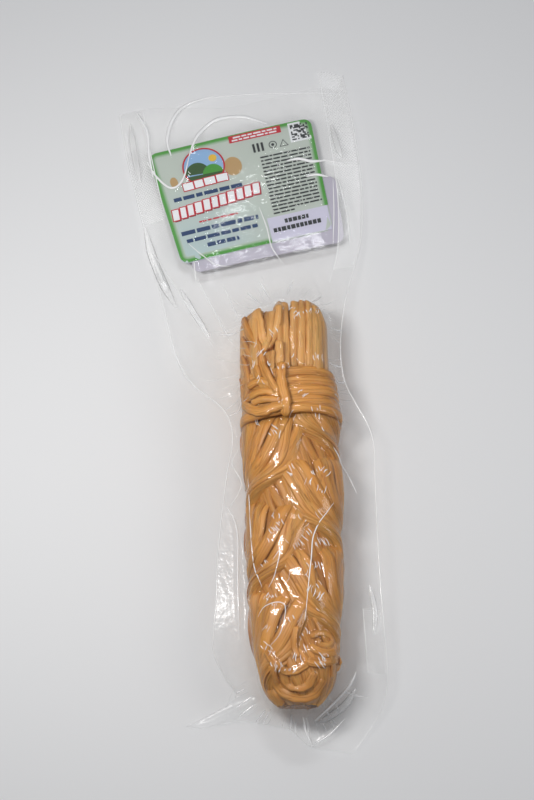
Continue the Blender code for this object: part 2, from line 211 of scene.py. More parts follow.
def makeFibreGroup():
    # Fine fibres along a strand, and painted shade at its edges, read from its own "grain"
    # attribute: across, along, seed.
    group, given, put = newGroup(
        "strandFibres",
        [("Fineness", "NodeSocketFloat", 2.4), ("Stretch", "NodeSocketFloat", 0.05)],
        [
            ("Streak", "NodeSocketFloat"),
            ("Tone", "NodeSocketFloat"),
            ("Seam", "NodeSocketFloat"),
            ("Line", "NodeSocketFloat"),
        ],
    )
    grain = addNode(group, "ShaderNodeAttribute", {"attribute_name": "grain"})
    split = addNode(group, "ShaderNodeSeparateXYZ", Vector=grain.outputs["Vector"])
    across = calc(group, "MULTIPLY", split.outputs[0], given.outputs["Fineness"])
    along = calc(group, "MULTIPLY", split.outputs[1], given.outputs["Stretch"])
    seed = calc(group, "MULTIPLY", split.outputs[2], 7.3)
    place = addNode(group, "ShaderNodeCombineXYZ", X=across, Y=along, Z=seed)
    fine = noiseValue(group, place.outputs[0], 1.6, 5.0)
    coarse = noiseValue(group, place.outputs[0], 0.45, 2.0)
    # Painted shade in the grooves: each strand darkens towards both its edges.
    edge = calc(group, "POWER", calc(group, "ABSOLUTE", split.outputs[0]), 5.0)
    # Thin wandering lines along the strand, where a slow noise crosses its middle value.
    slow = noiseValue(group, place.outputs[0], 0.8, 1.5)
    near = calc(group, "ABSOLUTE", calc(group, "SUBTRACT", slow, 0.5))
    line = remap(group, near, 0.0, 0.028, 1.0, 0.0)
    for label, value in (("Line", line), ("Streak", fine), ("Tone", coarse), ("Seam", edge)):
        plug(group, put, label, value)
    return group


def makeMottleGroup():
    # Slow change of tone over a surface, from object coordinates.
    group, given, put = newGroup(
        "softMottle",
        [("Size", "NodeSocketFloat", 60.0)],
        [("Mottle", "NodeSocketFloat"), ("Speck", "NodeSocketFloat")],
    )
    coords = addNode(group, "ShaderNodeTexCoord")
    size = given.outputs["Size"]
    tight = calc(group, "MULTIPLY", size, 14.0)
    plug(group, put, "Mottle", noiseValue(group, coords.outputs["Object"], size, 3.0))
    plug(group, put, "Speck", noiseValue(group, coords.outputs["Object"], tight, 2.0))
    return group


fibreGroup = makeFibreGroup()
mottleGroup = makeMottleGroup()


def placeGroup(tree, group, **inputs):
    node = addNode(tree, "ShaderNodeGroup")
    node.node_tree = group
    for key, value in inputs.items():
        plug(tree, node, key, value)
    return node


cheeseLook = {
    "pale": (0.82, 0.44, 0.125),
    "mid": (0.735, 0.345, 0.068),
    "deep": (0.39, 0.145, 0.024),
    "tips": (0.88, 0.56, 0.23),
    "roughness": 0.42,
    "fibreDepth": 0.00024,
    "patches": 0.20,
    "grooveShadeShare": 0.78,
    "lines": 0.60,
    "glow": 0.18,
    "glowReach": (1.0, 0.45, 0.15),
    "glowScale": 0.0014,
}


def smokedCheese(name, hollowShade, paler=0.0):
    look = cheeseLook
    made, tree, shader = newMaterial(name, look["mid"], look["roughness"])
    fibres = placeGroup(tree, fibreGroup, Fineness=2.4, Stretch=0.05)
    mottle = placeGroup(tree, mottleGroup, Size=38.0)
    streak = remap(tree, fibres.outputs["Streak"], 0.32, 0.68)
    tone = remap(tree, fibres.outputs["Tone"], 0.3, 0.7)
    color = blendColor(tree, streak, look["mid"], look["pale"])
    color = blendColor(tree, calc(tree, "MULTIPLY", tone, 0.35), color, look["deep"])
    patch = remap(tree, mottle.outputs["Mottle"], 0.42, 0.66, 0.0, look["patches"])
    # Painted shade in the grooves between strands, at each strand's edges.
    grooveShade = calc(tree, "MULTIPLY", fibres.outputs["Seam"], look["grooveShadeShare"])
    line = calc(tree, "MULTIPLY", fibres.outputs["Line"], look["lines"])
    # Random patches and fibre lines darken the colour, and so does painted shade in the grooves and
    # in the hollows.
    for share in (patch, grooveShade, line, hollowShade):
        color = blendColor(tree, share, color, look["deep"])
    # The tuft's strands are mixed towards a paler tone. This is partly their own colour and partly
    # painted light that makes up for the shade the lamps leave on the tuft.
    color = blendColor(tree, paler, color, look["tips"])
    plug(tree, shader, "Base Color", color)
    rough = remap(tree, fibres.outputs["Streak"], 0.3, 0.7, 0.36, 0.52)
    plug(tree, shader, "Roughness", rough)
    height = calc(tree, "MULTIPLY", fibres.outputs["Line"], -0.8)
    height = calc(tree, "ADD", height, fibres.outputs["Streak"])
    addBump(tree, shader, height, look["fibreDepth"], 0.8)
    plug(tree, shader, "Subsurface Weight", look["glow"])
    plug(tree, shader, "Subsurface Radius", look["glowReach"])
    plug(tree, shader, "Subsurface Scale", look["glowScale"])
    return made


filmLook = {
    "haze": 0.012,
    "gloss": 0.85,
    "roughness": 0.07,
    "rippleDepth": 0.00026,
    "looseHaze": 0.14,
    "looseMirror": 0.10,
    "looseRoughness": 0.12,
    "shadow": 0.15,
    "mottleSize": 26.0,
    "rippleSize": 330.0,
    "tones": (0.56, 0.86),
}


def clearFilm(name, haze, rough, ripple, metal, bend=1.45, tones=(0.90, 0.98)):
    # Film seen through: a mirror-like white shell, let through except at glancing angles.
    made, tree, shader = newMaterial(name, (0.93, 0.94, 0.96), rough)
    mottle = placeGroup(tree, mottleGroup, Size=filmLook["mottleSize"])
    tone = remap(tree, mottle.outputs["Mottle"], 0.3, 0.7, *tones)
    white = addNode(tree, "ShaderNodeCombineColor", Red=tone, Green=tone, Blue=tone)
    plug(tree, shader, "Base Color", white.outputs[0])
    coords = addNode(tree, "ShaderNodeTexCoord")
    ripples = noiseValue(tree, coords.outputs["Object"], filmLook["rippleSize"], 2.5)
    normal = addBump(tree, shader, ripples, ripple, 0.8)
    glance = addNode(tree, "ShaderNodeFresnel", IOR=bend, Normal=normal)
    mist = remap(tree, mottle.outputs["Mottle"], 0.35, 0.75, 0.55 * haze, 1.5 * haze)
    # Loose film is milkier than film drawn tight, as the sheet's own "loose" attribute says.
    loose = addNode(tree, "ShaderNodeAttribute", {"attribute_name": "loose"}).outputs["Fac"]
    milk = remap(tree, mottle.outputs["Mottle"], 0.35, 0.70, 0.35, 1.3)
    milk = calc(tree, "MULTIPLY", calc(tree, "MULTIPLY", milk, loose), filmLook["looseHaze"])
    mist = calc(tree, "ADD", mist, milk)
    mirror = remap(tree, loose, 0.0, 1.0, metal, filmLook["looseMirror"] * metal)
    plug(tree, shader, "Metallic", mirror)
    soft = remap(tree, loose, 0.0, 1.0, rough, rough + filmLook["looseRoughness"])
    plug(tree, shader, "Roughness", soft)
    share = calc(tree, "ADD", calc(tree, "MULTIPLY", glance.outputs[0], 0.9), mist, clamp=True)
    # Thin film lets nearly all light through, so it casts hardly any shadow.
    path = addNode(tree, "ShaderNodeLightPath")
    pale = remap(tree, path.outputs["Is Shadow Ray"], 0.0, 1.0, 1.0, filmLook["shadow"])
    share = calc(tree, "MULTIPLY", share, pale)
    clear = addNode(tree, "ShaderNodeBsdfTransparent")
    mixer = addNode(tree, "ShaderNodeMixShader")
    for place, value in enumerate((share, clear.outputs[0], shader.outputs[0])):
        plug(tree, mixer, place, value)
    plug(tree, tree.nodes["Material Output"], "Surface", mixer.outputs[0])
    return made


def printedPaper(name, color, roughness=0.5):
    made, tree, shader = newMaterial(name, color, roughness)
    mottle = placeGroup(tree, mottleGroup, Size=120.0)
    share = remap(tree, mottle.outputs["Speck"], 0.3, 0.7, 0.0, 0.09)
    shade = [0.82 * value for value in color]
    plug(tree, shader, "Base Color", blendColor(tree, share, color, shade))
    rough = remap(tree, mottle.outputs["Mottle"], 0.3, 0.7, roughness - 0.06, roughness + 0.06)
    plug(tree, shader, "Roughness", rough)
    addBump(tree, shader, mottle.outputs["Speck"], 0.00002, 0.4)
    return made


strandFinish = smokedCheese("smokedStrand", 0.0)
# The tuft's paler copy of the cheese is partly its own tone and partly painted light.
tipFinish = smokedCheese("smokedTips", 0.0, 0.45)
# The cores and the filling sit in the hollows between strands and bundles, so these darker copies
# of the cheese are painted shade.
coreShadeFinish = smokedCheese("smokedCore", 0.32)
heartShadeFinish = smokedCheese("smokedHeart", 0.22)
filmFinish = clearFilm(
    "clearFilm",
    filmLook["haze"],
    filmLook["roughness"],
    filmLook["rippleDepth"],
    filmLook["gloss"],
    tones=filmLook["tones"],
)
lowerFilmFinish = clearFilm("lowerFilm", 0.01, 0.10, 0.0002, 0.85, 1.15)
# White strips laid on the film as painted highlights on its folds, wrinkles and edges; folded film
# is also a little whiter of itself.
creaseHighlightFinish = clearFilm("creasedFilm", 1.0, 0.12, 0.0001, 0.0)
# Half-white strips as painted sheens on loose film and painted highlights on small folds.
sheenStripFinish = clearFilm("foldedFilm", 0.28, 0.16, 0.0001, 0.1)
sealFinish = clearFilm("sealedFilm", 0.10, 0.24, 0.0001, 0.16)
paperFinish = printedPaper("whitePaper", linear(194, 190, 203), 0.6)

print("stage 3: floor")


def makeFloor():
    half = studio["floorSize"] / 2
    drop = -studio["floorDrop"]
    corners = [(-half, -half, drop), (half, -half, drop), (half, half, drop), (-half, half, drop)]
    mesh = bpy.data.meshes.new("floor")
    mesh.from_pydata([[c * mm for c in corner] for corner in corners], [], [(0, 1, 2, 3)])
    floor = addObject("floor", mesh)
    made, tree, shader = newMaterial("studioFloor", studio["floorColor"], 0.75)
    mottle = placeGroup(tree, mottleGroup, Size=3.0)
    share = remap(tree, mottle.outputs["Mottle"], 0.3, 0.7, 0.0, 0.05)
    color = blendColor(tree, share, studio["floorColor"], studio["floorShade"])
    plug(tree, shader, "Base Color", color)
    mesh.materials.append(made)


makeFloor()

print("stage 4: the plait's form")

# The plait's outer form and weave, as the solids have them.
plait = {
    "foot": -167.0,
    "centres": (
        (-165.0, 24.9), (-148.0, 24.6), (-110.0, 23.9), (-60.0, 23.4), (-36.0, 22.0),
        (-14.0, 21.4), (6.0, 18.9), (41.0, 18.5),
    ),
    "halfWidths": (
        (-167.0, 5.0), (-165.0, 9.5), (-161.5, 13.2), (-156.0, 16.6), (-149.0, 18.9),
        (-142.0, 20.0), (-126.0, 21.8),
        (-108.0, 23.2), (-70.0, 23.9), (-52.0, 24.2), (-36.0, 24.2), (-22.0, 23.6), (-14.0, 22.9),
        (0.0, 22.2), (12.0, 21.7), (27.0, 21.6), (37.0, 19.4), (41.0, 16.0),
    ),
    "halfThicknesses": (
        (-165.0, 5.0), (-161.0, 10.0), (-153.0, 14.5), (-140.0, 17.6), (-120.0, 19.0),
        (-20.0, 19.0), (0.0, 17.6), (20.0, 16.0), (34.0, 13.6), (41.0, 10.5),
    ),
    "middleHeight": 17.6,
    "roundness": 2.35,
    "pressedFrom": 0.86,
    "weaveLength": 138.0,
    "weaveStart": -12.0,
    "swing": 13.5,
    "rise": 7.3,
    "lag": 0.48,
    "taperBelow": 22.5,
    "bundleHalfWidth": 20.4,
    "bundleHalfDepth": 11.6,
    "faceTurn": math.radians(78.0),
}


def fromTable(table, y):
    if y <= table[0][0]:
        return table[0][1]
    for (low, first), (high, second) in zip(table, table[1:]):
        if y <= high:
            return first + (second - first) * (y - low) / (high - low)
    return table[-1][1]


def ease(low, high, x):
    t = min(max((x - low) / (high - low), 0.0), 1.0)
    return t * t * (3 - 2 * t)


def cubic(a, b, c, d, t):
    # The smooth curve from b to c, with a and d as the values before and after.
    square = (2 * a - 5 * b + 4 * c - d) * t * t
    cube = (3 * b - a - 3 * c + d) * t * t * t
    return 0.5 * (2 * b + (c - a) * t + square + cube)


def curveAt(values, place):
    # The smooth curve through evenly spaced values, at place from 0 to 1.
    last = len(values) - 1
    scaled = min(max(place, 0.0), 1.0) * last
    i = min(int(scaled), last - 1)
    before = values[max(i - 1, 0)]
    after = values[min(i + 2, last)]
    return cubic(before, values[i], values[i + 1], after, scaled - i)


def pathAt(spots, place):
    # The smooth curve through points seen from above.
    return curveAt([p[0] for p in spots], place), curveAt([p[1] for p in spots], place)


def centreX(y):
    return fromTable(plait["centres"], y)


def halfWidthAt(y):
    return fromTable(plait["halfWidths"], y)


def halfThicknessAt(y):
    return fromTable(plait["halfThicknesses"], y)


def rimPoint(y, angle, outward=0.0):
    n = plait["roundness"]
    c = math.cos(angle)
    s = math.sin(angle)
    reach = (abs(c) ** n + abs(s) ** n) ** (-1 / n)
    x = centreX(y) + c * reach * (halfWidthAt(y) + outward)
    z = plait["middleHeight"] + s * reach * (halfThicknessAt(y) + outward)
    return Vector((x, y, z))


def pressed(point, grow=0.0):
    # Drawn in so that the point stays inside the form that the bag presses.
    n = plait["roundness"]
    halfWidth = halfWidthAt(point.y)
    halfThickness = halfThicknessAt(point.y)
    across = (point.x - centreX(point.y)) / halfWidth
    up = (point.z - plait["middleHeight"]) / halfThickness
    reach = (abs(across) ** n + abs(up) ** n) ** (1 / n)
    share = 1.0
    start = plait["pressedFrom"]
    if reach > start:
        share = (start + (1 - start) * math.tanh((reach - start) / (1 - start))) / reach
    x = centreX(point.y) + across * share * (halfWidth + grow)
    z = plait["middleHeight"] + up * share * (halfThickness + grow)
    return Vector((x, point.y, z))


def taper(y):
    return min(1.0, halfWidthAt(y) / plait["taperBelow"])


def weaveAt(bundle, y):
    # Middle of a bundle at y, and the way that its flat face is turned there.
    phase = math.pi + fullTurn * (plait["weaveStart"] - y) / plait["weaveLength"]
    phase += fullTurn * bundle / 3
    x = centreX(y) + taper(y) * plait["swing"] * math.sin(phase)
    z = plait["middleHeight"] + taper(y) * plait["rise"] * math.sin(2 * phase - plait["lag"])
    c = math.cos(phase - plait["lag"])
    angle = math.pi / 2 + plait["faceTurn"] * 1.118 * c / math.sqrt(c * c + 0.25)
    return Vector((x, y, z)), angle


def bundlePoint(bundle, y, angle, size, grow):
    middle, facing = weaveAt(bundle, y)
    side = Vector((math.cos(facing), 0.0, math.sin(facing)))
    normal = Vector((-math.sin(facing), 0.0, math.cos(facing)))
    reach = taper(y) * size
    out = side * (plait["bundleHalfWidth"] * reach * math.cos(angle))
    out += normal * (plait["bundleHalfDepth"] * reach * math.sin(angle))
    return pressed(middle + out, grow)


print("stage 5: a tree for flat strands")


def geometryTree(name, inputs):
    tree = bpy.data.node_groups.new(name, "GeometryNodeTree")
    tree.interface.new_socket("Geometry", in_out="INPUT", socket_type="NodeSocketGeometry")
    for label, kind, value in inputs:
        socket = tree.interface.new_socket(label, in_out="INPUT", socket_type=kind)
        if value is not None:
            socket.default_value = value
    tree.interface.new_socket("Geometry", in_out="OUTPUT", socket_type="NodeSocketGeometry")
    return tree, addNode(tree, "NodeGroupInput"), addNode(tree, "NodeGroupOutput")


def namedValue(tree, name, kind="FLOAT"):
    node = addNode(tree, "GeometryNodeInputNamedAttribute", {"data_type": kind})
    node.inputs["Name"].default_value = name
    return node.outputs["Attribute"]


def captured(tree, geometry, values):
    node = addNode(tree, "GeometryNodeCaptureAttribute", {"domain": "POINT"})
    for label, _ in values:
        node.capture_items.new("VECTOR", label)
    for label, value in [("Geometry", geometry), *values]:
        plug(tree, node, label, value)
    return node


def endTree(tree, geometry, given, put):
    # Makes the grown parts real, gives them their material and ends the tree.
    real = addNode(tree, "GeometryNodeRealizeInstances", Geometry=geometry)
    coat = addNode(
        tree,
        "GeometryNodeSetMaterial",
        Geometry=real.outputs[0],
        Material=given.outputs["Finish"],
    )
    plug(tree, put, 0, coat.outputs[0])


def makeStrandTree():
    # Lines with an outward way, half width and half depth at each point become flat strands.
    tree, given, put = geometryTree(
        "flatStrands",
        [
            ("Sides", "NodeSocketInt", 12),
            ("Squareness", "NodeSocketFloat", 2.6),
            ("Finish", "NodeSocketMaterial", None),
        ],
    )
    link = tree.links.new
    line = addNode(tree, "GeometryNodeMeshToCurve")
    link(given.outputs["Geometry"], line.inputs["Mesh"])
    position = addNode(tree, "GeometryNodeInputPosition").outputs[0]
    tangent = addNode(tree, "GeometryNodeInputTangent").outputs[0]
    rail = captured(tree, line.outputs[0], [("centre", position), ("way", tangent)])
    circle = addNode(tree, "GeometryNodeCurvePrimitiveCircle", {"mode": "RADIUS"})
    link(given.outputs["Sides"], circle.inputs["Resolution"])
    circle.inputs["Radius"].default_value = 1.0
    profile = captured(tree, circle.outputs["Curve"], [("spot", position)])
    body = addNode(tree, "GeometryNodeCurveToMesh")
    link(rail.outputs["Geometry"], body.inputs["Curve"])
    link(profile.outputs["Geometry"], body.inputs["Profile Curve"])
    body.inputs["Fill Caps"].default_value = True

    spot = addNode(tree, "ShaderNodeSeparateXYZ", Vector=profile.outputs["spot"])
    power = given.outputs["Squareness"]
    total = calc(
        tree,
        "ADD",
        calc(tree, "POWER", calc(tree, "ABSOLUTE", spot.outputs[0]), power),
        calc(tree, "POWER", calc(tree, "ABSOLUTE", spot.outputs[1]), power),
    )
    reach = calc(tree, "POWER", total, calc(tree, "DIVIDE", -1.0, power))
    across = calc(tree, "MULTIPLY", spot.outputs[0], reach)
    up = calc(tree, "MULTIPLY", spot.outputs[1], reach)

    outward = namedValue(tree, "outward", "FLOAT_VECTOR")
    way = rail.outputs["way"]
    side = vectorCalc(tree, "NORMALIZE", vectorCalc(tree, "CROSS_PRODUCT", way, outward))
    normal = vectorCalc(tree, "CROSS_PRODUCT", side, way)
    wide = calc(tree, "MULTIPLY", across, namedValue(tree, "halfWidth"))
    high = calc(tree, "MULTIPLY", up, namedValue(tree, "halfDepth"))
    place = vectorCalc(tree, "ADD", rail.outputs["centre"], vectorCalc(tree, "SCALE", side, wide))
    place = vectorCalc(tree, "ADD", place, vectorCalc(tree, "SCALE", normal, high))
    moved = addNode(tree, "GeometryNodeSetPosition")
    link(body.outputs["Mesh"], moved.inputs["Geometry"])
    link(place, moved.inputs["Position"])

    grain = addNode(
        tree,
        "ShaderNodeCombineXYZ",
        X=across,
        Y=namedValue(tree, "alongStrand"),
        Z=namedValue(tree, "seed"),
    )
    store = addNode(
        tree,
        "GeometryNodeStoreNamedAttribute",
        {"data_type": "FLOAT_VECTOR", "domain": "POINT"},
        Name="grain",
    )
    link(moved.outputs[0], store.inputs["Geometry"])
    link(grain.outputs[0], store.inputs["Value"])
    endTree(tree, store.outputs[0], given, put)
    return tree


strandTree = makeStrandTree()


def newPiece(name, points, faces, finish=None, edges=()):
    mesh = bpy.data.meshes.new(name)
    mesh.from_pydata([(p[0] * mm, p[1] * mm, p[2] * mm) for p in points], edges, faces)
    if finish:
        mesh.materials.append(finish)
    return addObject(name, mesh)


def turnOutward(mesh):
    fixed = bmesh.new()
    fixed.from_mesh(mesh)
    bmesh.ops.recalc_face_normals(fixed, faces=fixed.faces)
    fixed.to_mesh(mesh)
    fixed.free()


def growTree(piece, tree, settings):
    # Runs a tree on a piece and keeps the result as a plain mesh.
    modifier = piece.modifiers.new("grow", "NODES")
    modifier.node_group = tree
    for item in tree.interface.items_tree:
        if item.item_type == "SOCKET" and item.in_out == "INPUT" and item.name in settings:
            modifier[item.identifier] = settings[item.name]
    graph = bpy.context.evaluated_depsgraph_get()
    grown = bpy.data.meshes.new_from_object(piece.evaluated_get(graph))
    old = piece.data
    piece.modifiers.clear()
    piece.data = grown
    bpy.data.meshes.remove(old)
    grown.name = piece.name
    turnOutward(grown)
    grown.shade_smooth()
    return piece


def addValues(piece, name, numbers, kind="FLOAT"):
    attribute = piece.data.attributes.new(name, kind, "POINT")
    attribute.data.foreach_set("value" if kind == "FLOAT" else "vector", numbers)


def strandsFromRows(rows, middleOf, gapOf, look, firstSeed):
    # Each column of the rows becomes a strand that faces away from the middle.
    narrowest, widest = look["widths"]
    last = len(rows) - 1
    count = len(rows[0])
    strands = []
    for k in range(count):
        points = []
        outwards = []
        halfWidths = []
        for i, row in enumerate(rows):
            here = row[k]
            way = (rows[min(i + 1, last)][k] - rows[max(i - 1, 0)][k]).normalized()
            before = row[(k - 1) % count]
            after = row[(k + 1) % count]
            outward = way.cross(after - before).normalized()
            if outward.dot(here - middleOf(row, here)) < 0:
                outward = -outward
            gap = 0.5 * (gapOf(after - here, way) + gapOf(before - here, way))
            points.append(here)
            outwards.append(outward)
            halfWidths.append(min(max(gap * look["overlap"], narrowest), widest))
        halfDepths = [min(look["halfDepth"], look["depthShare"] * w) for w in halfWidths]
        strands.append(strand(points, outwards, halfWidths, halfDepths, firstSeed + k))
    return strands


def strand(points, outwards, halfWidths, halfDepths, seed, closed=False):
    return {
        "points": points,
        "outwards": outwards,
        "halfWidths": halfWidths,
        "halfDepths": halfDepths,
        "seed": seed,
        "closed": closed,
    }


def makeStrands(name, strands, finish, sides=12, squareness=2.6):
    points = []
    edges = []
    values = {"outward": [], "halfWidth": [], "halfDepth": [], "alongStrand": [], "seed": []}
    for one in strands:
        start = len(points)
        count = len(one["points"])
        for spot, depth in zip(one["points"], one["halfDepths"]):
            points.append(Vector((spot.x, spot.y, max(spot.z, depth))))  # kept above the floor
        edges += [(start + i, start + i + 1) for i in range(count - 1)]
        if one["closed"]:
            edges.append((start + count - 1, start))
        travelled = 0.0
        for i in range(count):
            if i:
                travelled += (one["points"][i] - one["points"][i - 1]).length
            values["outward"] += list(one["outwards"][i])
            values["halfWidth"].append(one["halfWidths"][i] * mm)
            values["halfDepth"].append(one["halfDepths"][i] * mm)
            values["alongStrand"].append(travelled)
            values["seed"].append(one["seed"])
    piece = newPiece(name, points, [], None, edges)
    for key, numbers in values.items():
        addValues(piece, key, numbers, "FLOAT_VECTOR" if key == "outward" else "FLOAT")
    growTree(piece, strandTree, {"Sides": sides, "Squareness": squareness, "Finish": finish})
    for key in values:
        spare = piece.data.attributes.get(key)
        if spare:
            piece.data.attributes.remove(spare)
    for vertex in piece.data.vertices:
        if vertex.co.z < pressHeight:
            vertex.co.z = pressHeight + 0.1 * (vertex.co.z - pressHeight)  # flat where it lies
    return piece


def tubeMesh(name, rings, finish):
    # A smooth closed body through rings of points.
    sides = len(rings[0])
    count = len(rings)
    faces = []
    for i in range(count - 1):
        near = i * sides
        far = near + sides
        for j in range(sides):
            k = (j + 1) % sides
            faces.append((near + j, near + k, far + k, far + j))
    faces.append(tuple(range(sides)))
    faces.append(tuple(range((count - 1) * sides, count * sides)))
    tube = newPiece(name, [p for ring in rings for p in ring], faces, finish)
    turnOutward(tube.data)
    tube.data.shade_smooth()
    return tube


print("stage 6: the three woven bundles")

bundles = {
    "strandsEach": 22,
    "stations": 150,
    "top": 4.0,
    "drift": 0.10,
    "lift": 0.32,
    "size": 0.96,
    "widths": (0.9, 3.6),
    "halfDepth": 0.68,
    "depthShare": 0.62,
    "overlap": 0.79,
    "footGap": 2.5,
    "coreSize": 0.95,
    "coreInset": 1.8,
    "coreFootGap": 3.5,
    "coreRings": 70,
    "coreSides": 28,
    "seed": 11,
}

pieces = []


def keep(piece, slot, *nodes):
    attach(piece, "root")
    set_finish(piece, slot)
    if nodes:
        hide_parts(*nodes)
    pieces.append(piece)
    return piece


def keepCheese(piece):
    return keep(piece, "cheese", "cheese_plait")


def bundleStrands(bundle):
    rng = random.Random(bundles["seed"] + bundle)
    count = bundles["strandsEach"]
    drifts = [(rng.uniform(0, fullTurn), rng.uniform(0.6, 1.7)) for _ in range(count)]
    lifts = [rng.uniform(-1.0, 0.6) * bundles["lift"] for _ in range(count)]
    turns = [k + rng.uniform(-0.22, 0.22) for k in range(count)]
    foot = plait["foot"] + bundles["footGap"]
    rows = []
    for i in range(bundles["stations"]):
        y = bundles["top"] + (foot - bundles["top"]) * i / (bundles["stations"] - 1)
        row = []
        for k in range(count):
            offset, pace = drifts[k]
            angle = fullTurn * turns[k] / count
            angle += bundles["drift"] * math.sin(offset + pace * y / 12.0)
            # An even walk round an ellipse: wide faces take more strands than the edges.
            even = angle - 0.14 * math.sin(2 * angle)
            grow = -bundles["halfDepth"] + lifts[k]
            row.append(bundlePoint(bundle, y, even, bundles["size"], grow))
        rows.append(row)

    def middleOf(row, here):
        return weaveAt(bundle, here.y)[0]

    def gapOf(step, way):
        return step.cross(way).length

    return strandsFromRows(rows, middleOf, gapOf, bundles, 10.0 * bundle)


for bundle in range(3):
    keepCheese(makeStrands(f"bundle_{'abc'[bundle]}", bundleStrands(bundle), strandFinish))


def makeCores():
    # A plain body in each bundle, which closes the gaps between its strands; its darker colour is
    # painted shade in the hollows.
    count = bundles["coreRings"]
    sides = bundles["coreSides"]
    foot = plait["foot"] + bundles["coreFootGap"]
    for bundle in range(3):
        rings = []
        for i in range(count):
            y = bundles["top"] + (foot - bundles["top"]) * i / (count - 1)
            ring = []
            for j in range(sides):
                angle = fullTurn * j / sides
                inset = -bundles["coreInset"]
                ring.append(bundlePoint(bundle, y, angle, bundles["coreSize"], inset))
            rings.append(ring)
        keepCheese(tubeMesh(f"bundle_core_{'abc'[bundle]}", rings, coreShadeFinish))


makeCores()


filling = {
    "strands": 30,
    "stations": 90,
    "footGap": 4.0,
    "size": 0.775,
    "twist": 0.020,
    "wander": 0.05,
    "halfWidth": 2.7,
    "depthShare": 0.45,
}


def innerStrands():
    # Strands of the filling, which show only as the ground of the hollows between bundles; their
    # darker colour is painted shade.
    strands = []
    count = filling["strands"]
    top = bundles["top"]
    foot = plait["foot"] + filling["footGap"]
    for k in range(count):
        points = []
        outwards = []
        widths = []
        for i in range(filling["stations"]):
            y = top + (foot - top) * i / (filling["stations"] - 1)
            angle = fullTurn * k / count + filling["twist"] * y
            angle += filling["wander"] * math.sin(0.2 * y + 2.4 * k)
            rim = rimPoint(y, angle)
            middle = Vector((centreX(y), y, plait["middleHeight"]))
            points.append(middle.lerp(rim, filling["size"]))
            outwards.append((rim - middle).normalized())
            widths.append(filling["halfWidth"] * taper(y))
        depths = [filling["depthShare"] * w for w in widths]
        strands.append(strand(points, outwards, widths, depths, 90.0 + k))
    return strands


keepCheese(makeStrands("inner_strands", innerStrands(), heartShadeFinish, 10))

print("stage 7: neck and tuft")

neck = {
    "top": 0.4,
    "turns": 5,
    "pitch": 4.95,
    "slant": 1.5,
    "halfWidth": 2.75,
    "halfDepth": 1.25,
    "lift": 0.2,
    "shift": 0.7,
    "stations": 96,
    "seed": 5,
}


def neckStrands():
    rng = random.Random(neck["seed"])
    strands = []
    for k in range(neck["turns"]):
        middle = neck["top"] - neck["pitch"] * (k + 0.5)
        lift = rng.uniform(-0.25, 0.45)
        wave = rng.uniform(0, fullTurn)
        points = []
        outwards = []
        widths = []
        for i in range(neck["stations"]):
            angle = fullTurn * i / neck["stations"]
            y = middle + neck["slant"] * math.cos(angle) + 0.5 * math.sin(3 * angle + wave)
            here = rimPoint(y, angle, neck["lift"] + lift)
            here.x += neck["shift"]
            points.append(here)
            outwards.append((rimPoint(y, angle, 2.0) - rimPoint(y, angle, 0.0)).normalized())
            widths.append(neck["halfWidth"] * (1 + 0.12 * math.sin(2 * angle + 2 * wave)))
        depths = [neck["halfDepth"]] * len(points)
        strands.append(strand(points, outwards, widths, depths, 40.0 + k, closed=True))
    return strands


keepCheese(makeStrands("neck_tie", neckStrands(), strandFinish, 14))

tuft = {
    "lobes": (
        # name, low and high share of the half width, start, top, strands
        ("tuft_right", 0.10, 0.98, -8.0, 41.5, 13),
        ("tuft_left", -0.98, -0.14, -9.0, 35.5, 12),
        ("tuft_middle", -0.26, 0.08, -6.0, 40.5, 6),
    ),
    "stations": 46,
    "size": 0.93,
    "widths": (0.5, 3.4),
    "halfDepth": 1.2,
    "depthShare": 0.7,
    "overlap": 0.60,
    "roundFrom": 0.74,
    "squareness": 2.6,
    "coreRings": 22,
    "coreSides": 24,
    "coreSize": 0.86,
    "seed": 23,
}


def lobePoint(low, high, start, top, share, angle, size):
    y = start + (top - start) * share
    # The lobe is rounded off over its last part.
    over = max(0.0, (share - tuft["roundFrom"]) / (1 - tuft["roundFrom"]))
    end = math.sqrt(max(1 - over**2, 0.02))
    size *= 0.88 + 0.12 * ease(-3.0, 7.0, y)  # drawn in where the neck is tied
    middle = centreX(y) + halfWidthAt(y) * (low + high) / 2
    half = halfWidthAt(y) * (high - low) / 2 * (0.35 + 0.65 * end) * size
    c = math.cos(angle)
    s = math.sin(angle)
    n = tuft["squareness"]
    reach = (abs(c) ** n + abs(s) ** n) ** (-1 / n)
    height = halfThicknessAt(y) * end * size
    return Vector((middle + half * c * reach, y, plait["middleHeight"] + height * s * reach))


def lobeShare(i, last):
    # Stations lie closer together towards the lobe's end.
    return math.sin(math.pi / 2 * i / last) ** 0.8


def lobeStrands(index, lobe):
    low, high, start, top, count = lobe
    rng = random.Random(tuft["seed"] + index)
    turns = [k + rng.uniform(-0.2, 0.2) for k in range(count)]
    drift = [rng.uniform(0, fullTurn) for _ in range(count)]
    last = tuft["stations"] - 1
    rows = []
    for i in range(tuft["stations"]):
        share = lobeShare(i, last)
        row = []
        for k in range(count):
            angle = fullTurn * (turns[k] + 0.22 * math.sin(drift[k] + 3.0 * share)) / count
            row.append(lobePoint(low, high, start, top, share, angle, tuft["size"]))
        rows.append(row)

    def middleOf(row, here):
        return sum(row, Vector()) / count

    def gapOf(step, way):
        return step.length

    return strandsFromRows(rows, middleOf, gapOf, tuft, 60.0 + 20 * index)


